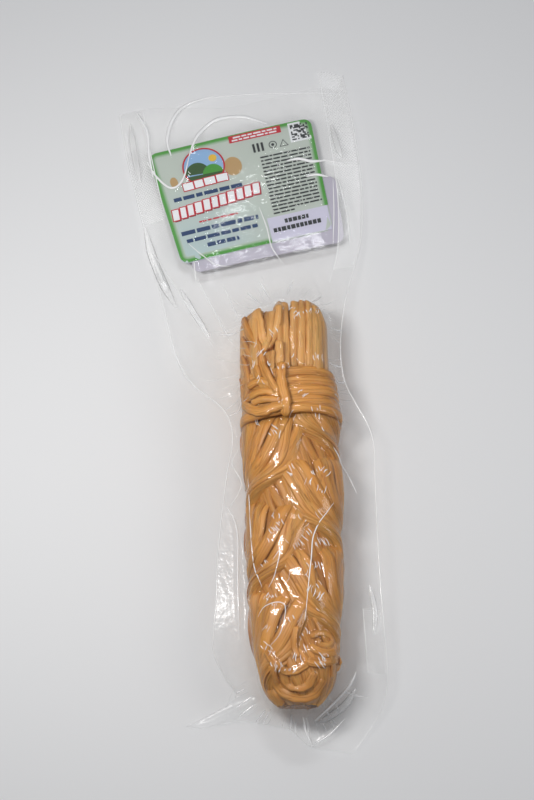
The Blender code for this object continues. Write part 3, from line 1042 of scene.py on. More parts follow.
def makeTuft():
    count = tuft["coreRings"]
    sides = tuft["coreSides"]
    for index, (name, *lobe) in enumerate(tuft["lobes"]):
        keepCheese(makeStrands(name, lobeStrands(index, lobe), tipFinish))
        low, high, start, top, _ = lobe
        rings = []
        for i in range(count):
            share = lobeShare(i, count - 1)
            ring = []
            for j in range(sides):
                angle = fullTurn * j / sides
                ring.append(lobePoint(low, high, start, top - 1.0, share, angle, tuft["coreSize"]))
            rings.append(ring)
        # The lobe's core takes the darker copy of the cheese, which is painted shade in the gaps
        # between its strands.
        keepCheese(tubeMesh(name + "_core", rings, coreShadeFinish))


makeTuft()

print("stage 8: strands laid over the plait")


def surfaceOf(objects):
    # One search tree over several pieces, in millimetres.
    points = []
    faces = []
    for piece in objects:
        start = len(points)
        points += [v.co / mm for v in piece.data.vertices]
        faces += [[start + i for i in p.vertices] for p in piece.data.polygons]
    return BVHTree.FromPolygons(points, faces)


def heightOn(surface, x, y, missing):
    hit = surface.ray_cast(Vector((x, y, 90.0)), Vector((0.0, 0.0, -1.0)))[0]
    return missing if hit is None else hit.z


draped = {
    # name: strands as (half width, lift, ((x, y), ...)) in millimetres, seen from above
    "tuft_strands": (
        (2.5, 0.5, ((24.4, 39.0), (24.0, 30.0), (23.8, 16.0), (23.5, 0.5))),
        (2.2, 0.7, ((28.0, 40.0), (27.7, 28.0), (27.3, 14.0), (27.2, 0.5))),
        (2.1, 0.5, ((31.0, 39.0), (31.4, 27.0), (31.3, 14.0), (31.4, 0.5))),
        (2.0, 0.3, ((33.8, 37.0), (35.0, 25.0), (35.5, 12.0), (35.4, 0.0))),
        (2.3, 0.9, ((18.4, 38.5), (18.9, 28.0), (19.4, 12.0), (19.2, 0.0), (19.2, -8.0))),
        (3.4, 0.6, ((4.4, 33.0), (5.6, 26.0), (7.0, 17.0), (8.6, 11.0))),
        (2.0, 0.9, ((12.8, 33.0), (12.2, 25.0), (10.4, 15.0), (8.0, 9.0))),
        (1.8, 1.2, ((16.0, 35.0), (15.4, 25.0), (12.6, 15.0), (10.0, 11.0))),
        (2.1, 1.3, ((16.0, 14.0), (16.4, 8.0), (16.6, 2.0), (17.6, -4.0))),
        (1.2, 0.8, ((13.4, 11.0), (13.0, 5.0), (12.8, -3.0))),
    ),
    "crossing_strands": (
        (
            2.4, 1.5,
            (
                (-2.0, 31.0), (1.6, 20.0), (6.2, 10.0), (8.6, 0.0),
                (12.4, -9.0), (15.2, -13.5),
            ),
        ),
        (1.9, 0.9, ((-2.6, 21.0), (0.8, 11.0), (4.4, 2.0), (7.0, -7.0), (10.0, -12.5))),
        (2.1, 0.5, ((-2.4, 11.0), (0.2, 1.0), (0.8, -7.0), (-0.6, -13.0))),
        (1.8, 1.0, ((-2.2, -2.0), (-1.6, -9.0), (-0.9, -15.0), (0.6, -19.0))),
        (2.4, 1.2, ((0.6, -8.0), (5.4, -6.6), (10.4, -8.4), (15.0, -11.5))),
        (2.3, 0.9, ((1.4, -13.2), (7.4, -12.0), (12.6, -13.0), (17.0, -14.5))),
        (1.9, 0.9, ((2.6, -17.4), (8.4, -16.6), (14.0, -17.4), (18.0, -18.4))),
        (2.6, 1.7, ((-1.6, -14.5), (2.4, -20.4), (7.6, -23.0), (12.8, -21.8), (18.4, -20.4))),
        (2.6, 2.0, ((17.6, 2.0), (17.0, -5.0), (17.9, -12.0), (19.2, -18.0), (19.0, -25.0))),
    ),
    "foot_folds": (
        (
            2.6, 0.0,
            (
                (12.4, -147.0), (14.0, -155.0), (19.4, -160.6), (26.4, -162.4),
                (33.0, -160.4), (37.4, -154.0),
            ),
        ),
        (
            2.2, 0.1,
            (
                (17.0, -149.0), (19.2, -155.2), (24.0, -158.2), (29.4, -157.2),
                (32.8, -151.4),
            ),
        ),
        (2.2, 0.0, ((32.6, -124.0), (37.6, -134.0), (41.2, -144.0), (41.0, -153.0))),
        (2.0, 0.1, ((9.8, -141.0), (13.4, -146.6), (18.6, -150.4), (24.0, -150.8), (29.6, -147.4))),
        (
            2.3, 0.2,
            (
                (29.0, -146.4), (34.6, -147.2), (40.4, -145.4), (44.0, -142.8),
                (45.2, -144.4), (42.4, -148.0),
            ),
        ),
        (
            1.7, 0.4,
            (
                (30.6, -134.4), (35.0, -132.4), (39.6, -132.8), (41.2, -135.8),
                (38.6, -138.4), (35.0, -137.6), (35.0, -135.4),
            ),
        ),
        (1.6, 0.2, ((24.0, -130.0), (23.0, -136.0), (23.4, -141.0), (25.0, -145.0))),
        (2.2, 0.2, ((30.4, -138.6), (34.0, -141.4), (39.0, -142.2), (43.0, -140.4))),
    ),
}


drape = {
    "stepsEach": 9,
    "edgeReach": 0.985,
    "deepest": 3.0,
    "highest": 1.5,
    "halfDepth": 1.25,
    "foldHalfDepth": 0.62,
    "depthShare": 0.6,
    # point from either end, and how far it dives under its neighbours
    "dives": ((0, 1.8), (1, 0.9), (-1, 1.8), (-2, 0.9)),
}


def drapedStrands(name, below):
    # Strands that follow what lies below them, never far from the plait's own form.
    strands = []
    edge = drape["edgeReach"]
    for k, (halfWidth, lift, spots) in enumerate(draped[name]):
        steps = drape["stepsEach"] * (len(spots) - 1)
        flat = []
        for i in range(steps + 1):
            x, y = pathAt(spots, i / steps)
            share = min(max((x - centreX(y)) / halfWidthAt(y), -edge), edge)
            angle = math.acos(share)
            rim = rimPoint(y, angle)
            outward = (rimPoint(y, angle, 2.0) - rim).normalized()
            height = max(heightOn(below, x, y, rim.z), rim.z - drape["deepest"])
            flat.append((x, y, min(height, rim.z + drape["highest"]), outward))
        points = []
        for i in range(steps + 1):
            near = flat[max(i - 3, 0):i + 4]
            height = sum(spot[2] for spot in near) / len(near)
            points.append(Vector((flat[i][0], flat[i][1], height + lift)))
        widths = []
        for i in range(steps + 1):
            fade = min(1.0, 0.45 + 0.25 * min(i, steps - i))
            widths.append(halfWidth * fade * (1 + 0.06 * math.sin(0.9 * i + k)))
        deepest = drape["foldHalfDepth" if name == "foot_folds" else "halfDepth"]
        depths = [min(deepest, drape["depthShare"] * w) for w in widths]
        for place, depth in drape["dives"]:
            points[place] = points[place] - flat[place][3] * depth
        outwards = [spot[3] for spot in flat]
        strands.append(strand(points, outwards, widths, depths, 130.0 + 3 * k))
    return strands


for name in ("tuft_strands", "crossing_strands", "foot_folds"):
    covered = ("bundle", "tuft") if name == "tuft_strands" else ("bundle", "tuft", "neck")
    below = surfaceOf([piece for piece in pieces if piece.name.startswith(covered)])
    finish = tipFinish if name == "tuft_strands" else strandFinish
    keepCheese(makeStrands(name, drapedStrands(name, below), finish))

print("stage 9: labels")

labels = {
    # corners: lower left, lower right, upper left, upper right
    "front": ((-33.5, 68.0), (44.5, 87.6), (-52.5, 131.5), (33.0, 153.2)),
    "back": ((-27.3, 63.0), (50.4, 81.0), (-34.0, 101.0), (45.6, 120.0)),
    "frontSize": (84.0, 66.0),
    "backSize": (80.0, 39.0),
    "corner": 4.5,
    "cornerRows": 6,
    "middleRows": 22,
    "columns": 44,
    "thickness": 0.3,
    "inkGap": 0.05,
    "seed": 77,
}

inks = (
    # name, colour
    ("green", linear(78, 158, 60)),
    ("red", linear(196, 34, 52)),
    ("white", linear(236, 238, 240)),
    ("navy", linear(38, 66, 110)),
    ("black", linear(48, 52, 54)),
    ("hill", linear(58, 92, 48)),
    ("sky", linear(150, 186, 222)),
    ("tan", linear(190, 158, 110)),
    ("sun", linear(232, 190, 70)),
    ("maroon", linear(120, 20, 34)),
    ("strip", linear(211, 209, 226)),
)


def tint(tree, share, color):
    # Lays a second colour over a paper's own by a share.
    shader = tree.nodes["Principled BSDF"]
    own = shader.inputs["Base Color"].links[0].from_socket
    plug(tree, shader, "Base Color", blendColor(tree, share, own, color))


def fadedInk(name, color):
    # The border's ink, which thins out towards the middle of the label.
    made = printedPaper(name, color)
    tree = made.node_tree
    fade = addNode(tree, "ShaderNodeAttribute", {"attribute_name": "fade"})
    tint(tree, remap(tree, fade.outputs["Fac"], 0.25, 1.0), linear(192, 201, 193))
    return made


def tintedPaper(name):
    # Grey-green paper that turns a little bluer at its lower left.
    made = printedPaper(name, linear(194, 202, 194))
    tree = made.node_tree
    place = addNode(tree, "ShaderNodeUVMap", {"uv_map": "labelPlace"})
    split = addNode(tree, "ShaderNodeSeparateXYZ", Vector=place.outputs[0])
    low = remap(tree, split.outputs[1], 0.75, 0.05)
    left = remap(tree, split.outputs[0], 0.65, 0.25)
    share = calc(tree, "MULTIPLY", calc(tree, "MULTIPLY", low, left), 0.8)
    tint(tree, share, linear(184, 204, 207))
    return made


labelTops = {name: surfaceOf([bpy.data.objects[name + "_label"]]) for name in ("front", "back")}


def onLabel(name, s, t, lift=0.0):
    # A point of a label from its own millimetres: s to the right, t up.
    wide, high = labels[name + "Size"]
    lowLeft, lowRight, highLeft, highRight = (Vector(p) for p in labels[name])
    low = lowLeft.lerp(lowRight, s / wide)
    top = highLeft.lerp(highRight, s / wide)
    x, y = low.lerp(top, t / high)
    spot = Vector((x, y, 40.0))
    hit = labelTops[name].ray_cast(spot, Vector((0.0, 0.0, -1.0)))[0]
    if hit is None:
        hit = labelTops[name].find_nearest(Vector((x, y, 4.0)))[0]
    return Vector((x, y, hit.z + lift))


def makeSheet(name, finish):
    wide, high = labels[name + "Size"]
    radius = labels["corner"]
    rows = []  # height of each row of points, and how far its ends are drawn in
    for i in range(labels["cornerRows"] + 1):
        angle = math.pi / 2 * i / labels["cornerRows"]
        rows.append((radius * (1 - math.cos(angle)), radius * (1 - math.sin(angle))))
    inner = high - 2 * radius
    count = labels["middleRows"]
    middle = [(radius + inner * i / count, 0.0) for i in range(1, count)]
    rows = rows + middle + [(high - place, trim) for place, trim in reversed(rows)]
    columns = labels["columns"]
    places = []
    upper = []
    lower = []
    for t, trim in rows:
        for j in range(columns + 1):
            s = trim + (wide - 2 * trim) * j / columns
            places.append((s / wide, t / high))
            point = onLabel(name, s, t)
            upper.append(point)
            lower.append(point - Vector((0, 0, labels["thickness"])))
    width = columns + 1
    count = len(upper)
    faces = []
    for i in range(len(rows) - 1):
        for j in range(columns):
            a = i * width + j
            b = a + width
            faces.append((a, a + 1, b + 1, b))
            faces.append((count + a, count + b, count + b + 1, count + a + 1))
    rim = list(range(width))
    rim += [i * width + columns for i in range(1, len(rows))]
    rim += [(len(rows) - 1) * width + j for j in range(columns - 1, -1, -1)]
    rim += [i * width for i in range(len(rows) - 2, 0, -1)]
    for a, b in zip(rim, rim[1:] + rim[:1]):
        faces.append((a, count + a, count + b, b))
    sheet = newPiece(f"{name}_sheet", upper + lower, faces, finish)
    layer = sheet.data.uv_layers.new(name="labelPlace")
    both = places + places
    for loop in sheet.data.loops:
        layer.data[loop.index].uv = both[loop.vertex_index]
    turnOutward(sheet.data)
    sheet.data.shade_smooth()
    sheet.data.set_sharp_from_angle(angle=math.radians(40))
    return keep(sheet, "printed_paper" if name == "front" else "plain_paper", f"{name}_label")


class Print:
    # Gathers flat inked shapes, each a thin closed plate that follows the label.
    def __init__(self):
        self.points = []
        self.faces = []
        self.inks = []
        self.fades = []

    def plate(self, outline, ink, layer=1, fades=None):
        start = len(self.points)
        count = len(outline)
        gap = labels["inkGap"]
        for lift in (gap * layer, gap * (layer - 1) - 0.01):
            self.points += [onLabel("front", s, t, lift) for s, t in outline]
            self.fades += fades or [0.0] * count
        self.faces.append(tuple(start + i for i in range(count)))
        self.faces.append(tuple(start + count + i for i in reversed(range(count))))
        for i in range(count):
            k = (i + 1) % count
            self.faces.append((start + i, start + count + i, start + count + k, start + k))
        self.inks += [ink] * (count + 2)

    def box(self, low, high, bottom, top, ink, layer=1, lean=0.0):
        steps = max(1, int((high - low) / 4.0))
        for i in range(steps):
            a = low + (high - low) * i / steps
            b = low + (high - low) * (i + 1) / steps
            corners = ((a, bottom), (b, bottom), (b + lean, top), (a + lean, top))
            self.plate(corners, ink, layer)

    def disc(self, s, t, wide, high, ink, layer=1, start=0.0, end=fullTurn, steps=28):
        outline = []
        for i in range(steps):
            angle = start + (end - start) * i / steps
            outline.append((s + wide * math.cos(angle), t + high * math.sin(angle)))
        self.plate(outline, ink, layer)

    def hoop(self, s, t, wide, high, ink, layer, thick, corners=28, turned=0.0):
        for i in range(corners):
            spots = []
            for place, inset in ((i, 0.0), (i + 1, 0.0), (i + 1, thick), (i, thick)):
                angle = turned + fullTurn * place / corners
                spotS = s + (wide - inset) * math.cos(angle)
                spots.append((spotS, t + (high - inset) * math.sin(angle)))
            self.plate(spots, ink, layer)

    def words(self, rng, low, high, bottom, top, ink, sizes, gap, layer=1):
        # A row of plain bars in place of a line of print.
        s = low
        while s < high - 0.8:
            size = min(rng.uniform(*sizes), high - s)
            self.box(s, s + size, bottom, top, ink, layer)
            s += size + gap


blocks = {
    # the row of large pale blocks with red edges, in the front label's own millimetres
    "left": 2.6,
    "count": 11,
    "widths": (3.3, 4.3),
    "step": 0.65,
    "bottom": 24.4,
    "height": 6.0,
    "slope": 0.17 * 0.6,
    "lean": 0.6,
}

pattern = {
    # the block of small squares at the front label's upper right
    "left": 72.8,
    "bottom": 55.1,
    "cell": 0.74,
    "count": 12,
    "filled": 0.52,
}


def makePrint():
    rng = random.Random(labels["seed"])
    at = {name: i + 1 for i, (name, _) in enumerate(inks)}
    ink = Print()
    wide, high = labels["frontSize"]

    # The green border, from the label's edge inwards. The lower right corner has none.
    def edgeSpots(inset, steps=5):
        radius = max(labels["corner"] - inset, 1.2)
        spots = [(50.0 - 5.0 * i, inset) for i in range(8)]
        for middleS, middleT, begin in (
            (inset + radius, inset + radius, 270),
            (inset + radius, high - inset - radius, 180),
            (wide - inset - radius, high - inset - radius, 90),
        ):
            for i in range(steps + 1):
                angle = math.radians(begin - 90 * i / steps)
                spot = (middleS + radius * math.cos(angle), middleT + radius * math.sin(angle))
                spots.append(spot)
            if begin == 270:
                spots += [(inset, t) for t in (14.0, 24.0, 34.0, 44.0, 54.0)]
            if begin == 180:
                spots += [(s, high - inset) for s in (14.0, 24.0, 34.0, 44.0, 54.0, 64.0, 74.0)]
        spots += [(wide - inset, t) for t in (50.0, 40.0, 30.0, 20.0, 14.6)]
        return spots

    loops = [edgeSpots(inset) for inset in (0.15, 1.2, 2.2, 3.4)]
    shades = (0.0, 0.15, 0.6, 1.0)
    for outer, inner, shade, nextShade in zip(loops, loops[1:], shades, shades[1:]):
        for i in range(len(outer) - 1):
            spots = (outer[i], outer[i + 1], inner[i + 1], inner[i])
            ink.plate(spots, 0, 1, [shade, shade, nextShade, nextShade])

    # Red strip with a few pale bars, and a block of small squares beside it.
    ink.box(41.2, 68.0, 61.2, 65.3, at["red"], 2)
    ink.words(rng, 43.5, 66.0, 63.5, 64.4, at["white"], (1.6, 4.4), 0.6, 3)
    ink.words(rng, 42.6, 66.6, 61.9, 62.8, at["white"], (1.4, 4.0), 0.6, 3)
    ink.box(71.8, 82.6, 54.0, 65.2, at["white"], 2)
    cell = pattern["cell"]
    for i in range(pattern["count"]):
        for j in range(pattern["count"]):
            if rng.random() < pattern["filled"]:
                s = pattern["left"] + cell * i
                t = pattern["bottom"] + cell * j
                ink.box(s, s + cell, t, t + cell, at["black"], 3)

    # Three small plain marks.
    for k in range(3):
        ink.box(52.0 + 2.2 * k, 53.2 + 2.2 * k, 52.8, 57.8, at["black"], 2)
    ink.hoop(62.4, 55.2, 2.1, 2.1, at["black"], 2, 0.4, 20)
    ink.disc(62.4, 55.2, 0.8, 0.8, at["black"], 2, steps=12)
    ink.hoop(68.0, 54.4, 2.7, 2.7, at["black"], 2, 0.6, 3, math.pi / 2)

    # Small print as broken bars, in a block with a straight left edge.
    for row in range(17):
        t = 49.4 - 2.06 * row
        end = 81.4 if row < 16 else 66.0
        ink.words(rng, 54.6, end, t - 0.62, t + 0.30, at["black"], (1.2, 5.2), 0.55, 1)

    # The pale strip at the lower right and its two dark rows.
    ink.box(50.4, 83.4, 0.5, 14.4, at["strip"], 1)
    ink.words(rng, 59.4, 72.4, 9.6, 12.0, at["black"], (1.5, 2.4), 0.45, 2)
    ink.words(rng, 52.4, 79.4, 5.4, 7.9, at["black"], (1.5, 2.6), 0.45, 2)

    # A round picture of plain hills under a sun, in a red hoop, and tan ovals beside it.
    ink.disc(40.0, 48.0, 4.6, 5.4, at["tan"], 1)
    ink.disc(8.8, 46.6, 2.0, 3.2, at["tan"], 1, steps=16)
    ink.disc(25.5, 51.5, 10.2, 10.4, at["sky"], 2, steps=36)
    ink.disc(31.0, 55.4, 2.1, 2.1, at["sun"], 3, steps=16)
    ink.disc(21.8, 47.4, 6.4, 7.4, at["hill"], 3, 0.0, math.pi, 20)
    ink.disc(29.4, 46.0, 5.4, 6.0, at["green"], 4, 0.0, math.pi, 20)
    ink.disc(25.5, 47.6, 9.2, 5.2, at["hill"], 5, math.pi, fullTurn, 20)
    ink.hoop(25.5, 51.5, 10.9, 11.1, at["red"], 6, 0.8, 36)
    for k, (s, size) in enumerate(((12.6, 5.2), (18.6, 4.4), (23.8, 5.6), (30.2, 5.8))):
        ink.box(s - 0.4, s + size + 0.4, 39.8 + 0.2 * k, 44.9 + 0.2 * k, at["red"], 7)
        ink.box(s, s + size, 40.3 + 0.2 * k, 44.4 + 0.2 * k, at["white"], 8)

    # Blue row, large pale blocks edged in red, a thin red row and three blue rows.
    ink.words(rng, 6.0, 42.4, 35.4, 37.6, at["navy"], (3.2, 7.5), 0.9, 1)
    s = blocks["left"]
    lean = blocks["lean"]
    for k in range(blocks["count"]):
        size = rng.uniform(*blocks["widths"])
        low = blocks["bottom"] + blocks["slope"] * s
        top = low + blocks["height"]
        ink.box(s + 0.5, s + size + 0.5, low - 0.6, top + 0.2, at["maroon"], 1, lean)
        ink.box(s - 0.25, s + size + 0.25, low - 0.2, top + 0.9, at["red"], 2, lean)
        ink.box(s + 0.25, s + size - 0.25, low + 0.35, top + 0.35, at["white"], 3, lean)
        s += size + blocks["step"]
    ink.words(rng, 15.4, 36.2, 20.6, 21.5, at["red"], (2.0, 4.2), 0.7, 1)
    ink.words(rng, 4.6, 46.2, 15.4, 17.8, at["navy"], (2.2, 8.5), 0.9, 1)
    ink.words(rng, 6.2, 44.8, 10.8, 12.9, at["navy"], (2.2, 8.5), 0.8, 1)
    ink.words(rng, 16.2, 33.6, 6.1, 8.4, at["navy"], (3.2, 6.5), 0.8, 1)

    piece = newPiece("front_print", ink.points, ink.faces)
    piece.data.materials.append(fadedInk("borderInk", inks[0][1]))
    for name, color in inks:
        piece.data.materials.append(printedPaper(name + "Ink", color))
    piece.data.polygons.foreach_set("material_index", ink.inks)
    addValues(piece, "fade", ink.fades)
    turnOutward(piece.data)
    keep(piece, "printed_paper")


makeSheet("back", paperFinish)
makeSheet("front", tintedPaper("tintedPaper"))
makePrint()

print("stage 10: bag")

# The bag's left and right edges from mouth to foot, and how high the edges and the middle lie.
bag = {
    "rows": (
        # left x, left y, right x, right y, left height, middle height, right height
        (-68.3, 156.5, 50.7, 180.0, 1.0, 1.6, 1.0),
        (-64.1, 132.6, 55.0, 155.0, 1.8, 2.6, 2.0),
        (-57.2, 102.8, 59.0, 126.0, 2.4, 3.6, 2.8),
        (-51.2, 79.1, 60.2, 102.0, 3.0, 4.8, 3.4),
        (-45.4, 55.4, 58.4, 78.0, 4.0, 7.0, 4.6),
        (-40.0, 32.0, 51.8, 54.0, 6.0, 11.0, 7.0),
        (-31.6, 6.0, 47.8, 27.0, 8.5, 14.5, 10.0),
        (-13.0, -12.0, 48.8, 4.0, 11.5, 16.0, 12.5),
        (-7.0, -27.0, 56.0, -13.0, 13.5, 16.0, 13.0),
        (-9.4, -45.0, 63.0, -28.0, 13.4, 16.0, 12.5),
        (-12.0, -66.0, 64.0, -58.0, 12.8, 16.0, 12.0),
        (-14.2, -91.0, 65.0, -88.0, 12.4, 16.0, 11.5),
        (-14.8, -117.0, 66.6, -118.0, 12.0, 15.5, 10.5),
        (-16.2, -135.0, 68.2, -138.0, 10.0, 13.5, 9.0),
        (-10.5, -148.5, 68.2, -153.0, 6.2, 10.5, 6.5),
        (-6.0, -158.5, 63.5, -167.0, 2.8, 5.5, 3.0),
        (-28.5, -171.0, 51.5, -184.2, 0.9, 1.2, 0.9),
    ),
    "columns": 168,
    "lines": 460,
    "mouthBulge": 9.8,
    "frontShorter": 12.5,
    "footNotch": 7.0,
    "foldHeight": 1.1,
    "filmGap": 0.3,
    "tightPasses": 3,
    "slackPasses": 420,
    "softPasses": 10,
    "slackMiddle": 0.30,
    "slackReach": 0.16,
    "slackHead": 0.35,
    "lastSmoothing": 0.3,
    "calmHeight": 2.5,
    "overCheese": 0.18,
    "overLabels": 0.4,
    "underCheese": 0.25,
    "lowest": 0.05,
    "rippleSize": (9.0, 16.0),
    "ripplesHead": 0.45,
    "ripplesPlait": 0.10,
}


def easeGrid(low, high, x):
    t = np.clip((x - low) / (high - low), 0.0, 1.0)
    return t * t * (3 - 2 * t)


def rowCurve(index, v):
    # One column of the bag's rows as a smooth curve, for a whole grid of v at once.
    values = np.array([row[index] for row in bag["rows"]])
    last = len(values) - 1
    scaled = np.clip(v, 0.0, 1.0) * last
    i = np.minimum(scaled.astype(int), last - 1)
    before = values[np.maximum(i - 1, 0)]
    after = values[np.minimum(i + 2, last)]
    return cubic(before, values[i], values[i + 1], after, scaled - i)


def bagPlate(u, v):
    # The flat bag's middle: x, y and height, on grids of u across and v from mouth to foot.
    leftX, leftY, rightX, rightY, leftZ, middleZ, rightZ = (rowCurve(i, v) for i in range(7))
    x = leftX + (rightX - leftX) * u
    y = leftY + (rightY - leftY) * u
    y = y + bag["mouthBulge"] * u**1.3 * (1 - u**14) * (1 - easeGrid(0.0, 0.12, v))
    notch = easeGrid(0.05, 0.35, u) * (1 - easeGrid(0.60, 0.75, u))
    y = y + bag["footNotch"] * notch * easeGrid(0.94, 1.0, v)
    # Beside the plait the film runs nearly straight to the edges.
    swell = 1 - np.abs(2 * u - 1) ** (2.2 - 1.1 * easeGrid(0.40, 0.52, v))
    z = leftZ + (rightZ - leftZ) * u + (middleZ - (leftZ + rightZ) / 2) * swell
    neckFold = np.exp(-(((v - 0.40) / 0.10) ** 2)) * np.cos(fullTurn * 3.5 * (u - 0.5) + 0.6)
    headFold = np.exp(-(((v - 0.12) / 0.10) ** 2)) * np.cos(fullTurn * (1.2 * u + 3 * v) + 1.0)
    z = z + bag["foldHeight"] * (neckFold + 0.5 * headFold) * swell
    return x, y, np.maximum(z, 0.6)


def castGrid(surface, x, y, downward):
    # Height of the surface over each grid point, or nan where there is none.
    found = np.full(x.shape, np.nan)
    way = Vector((0.0, 0.0, -1.0 if downward else 1.0))
    start = 90.0 if downward else -20.0
    for i in range(x.shape[0]):
        for j in range(x.shape[1]):
            hit = surface.ray_cast(Vector((x[i, j], y[i, j], start)), way)[0]
            if hit is not None:
                found[i, j] = hit.z
    return found


def neighbourMean(z):
    # Each inner point moved to the mean of its four neighbours.
    mean = z.copy()
    mean[1:-1, 1:-1] = 0.25 * (z[:-2, 1:-1] + z[2:, 1:-1] + z[1:-1, :-2] + z[1:-1, 2:])
    return mean


def ridge(x, y, path, height, width):
    # A raised crease along a path, fading at both ends.
    total = np.zeros(x.shape)
    spots = [Vector(p) for p in path]
    lengths = [(b - a).length for a, b in zip(spots, spots[1:])]
    whole = sum(lengths)
    done = 0.0
    for a, b, length in zip(spots, spots[1:], lengths):
        wayX = (b.x - a.x) / length
        wayY = (b.y - a.y) / length
        reach = np.clip((x - a.x) * wayX + (y - a.y) * wayY, 0.0, length)
        gap = (x - a.x - reach * wayX) ** 2 + (y - a.y - reach * wayY) ** 2
        share = (done + reach) / whole
        fade = np.clip(np.minimum(share, 1 - share) * 6, 0.15, 1.0)
        total = np.maximum(total, height * fade * np.exp(-gap / width**2))
        done += length
    return total


# The longer folds of the film, seen from above. Each is a ridge of the film and a white strip
# painted as its highlight.
foldPaths = {
    "headLeft": ((-58.4, 156.6), (-52.9, 145.4), (-51.6, 131.4), (-49.3, 118.1)),
    "headHook": ((-17.8, 167.3), (-32.5, 162.0), (-39.8, 152.0), (-42.2, 139.7), (-40.0, 130.5)),
    "headArch": ((10.2, 149.2), (-3.0, 153.8), (-16.6, 152.1), (-26.0, 142.7), (-30.6, 130.0)),
    "headLoop": ((-30.6, 130.0), (-33.5, 116.7), (-39.7, 111.6), (-47.6, 118.4), (-52.5, 127.1)),
    "overLabel": ((6.1, 100.1), (10.2, 87.7), (12.8, 76.4), (18.9, 66.9)),
    "labelRight": ((39.5, 128.7), (48.3, 127.0), (57.8, 127.0)),
    "headRight": ((47.2, 117.2), (51.2, 99.5), (53.0, 80.2)),
    "neckEdge": ((-50.2, 76.6), (-45.9, 66.0), (-41.6, 54.8)),
    "neckLong": ((-50.0, 78.2), (-34.2, 50.4), (-17.1, 20.3)),
    "neckMiddle": ((-29.2, 66.6), (-17.3, 41.7), (-6.0, 17.2)),
    "neckShort": ((-12.8, 56.6), (-8.1, 44.5), (-3.5, 30.8)),
    "plaitLeft": ((-10.4, -63.4), (-4.5, -76.2), (-3.9, -104.0), (-3.3, -131.4)),
    "plaitRight": ((42.8, -38.5), (48.6, -46.3), (54.4, -57.6)),
    "footRight": ((53.0, -146.1), (50.0, -152.5), (42.5, -160.5), (33.0, -169.0)),
    "footMiddle": ((27.4, -166.9), (28.8, -173.7), (31.7, -180.5)),
    "footCorner": ((31.7, -180.5), (40.3, -175.2), (47.5, -167.9)),
}

ridges = (
    # height, width and points of the raised folds, seen from above
    (0.9, 1.3, foldPaths["headLeft"]),
    (0.8, 1.1, foldPaths["headHook"]),
    (0.9, 1.3, foldPaths["headArch"]),
    (0.7, 1.1, foldPaths["headLoop"]),
    (0.6, 1.0, foldPaths["overLabel"]),
    (0.5, 0.9, foldPaths["labelRight"]),
    (0.5, 1.0, foldPaths["headRight"]),
    (1.1, 1.6, foldPaths["neckEdge"]),
    (0.8, 1.4, ((-27.3, 69.7), (-26.7, 63.6), (-26.1, 56.3), (-22.0, 46.0))),
    (1.2, 1.8, foldPaths["neckLong"]),
    (1.0, 1.6, foldPaths["neckMiddle"]),
    (0.9, 1.4, foldPaths["neckShort"]),
    (0.8, 1.3, ((30.0, 66.0), (36.0, 48.0), (40.0, 20.0))),
    (0.7, 1.3, ((46.0, 62.0), (44.0, 40.0), (43.5, 6.0))),
    (0.8, 1.3, foldPaths["plaitLeft"]),
    (0.9, 1.4, foldPaths["plaitRight"]),
    (1.0, 1.5, foldPaths["footRight"]),
    (0.9, 1.3, foldPaths["footMiddle"]),
    (0.8, 1.2, foldPaths["footCorner"]),
    (0.8, 1.3, ((7.8, -157.5), (-2.8, -161.9), (-25.0, -172.0))),
    (0.7, 1.2, ((57.9, -103.2), (64.5, -110.7), (64.6, -130.6), (59.0, -125.7))),
    (0.6, 1.2, ((-35.0, 22.0), (-22.0, 10.0), (-6.0, 2.0))),
    (0.6, 1.2, ((-24.0, 2.0), (-12.0, -8.0), (-4.0, -10.0))),
)


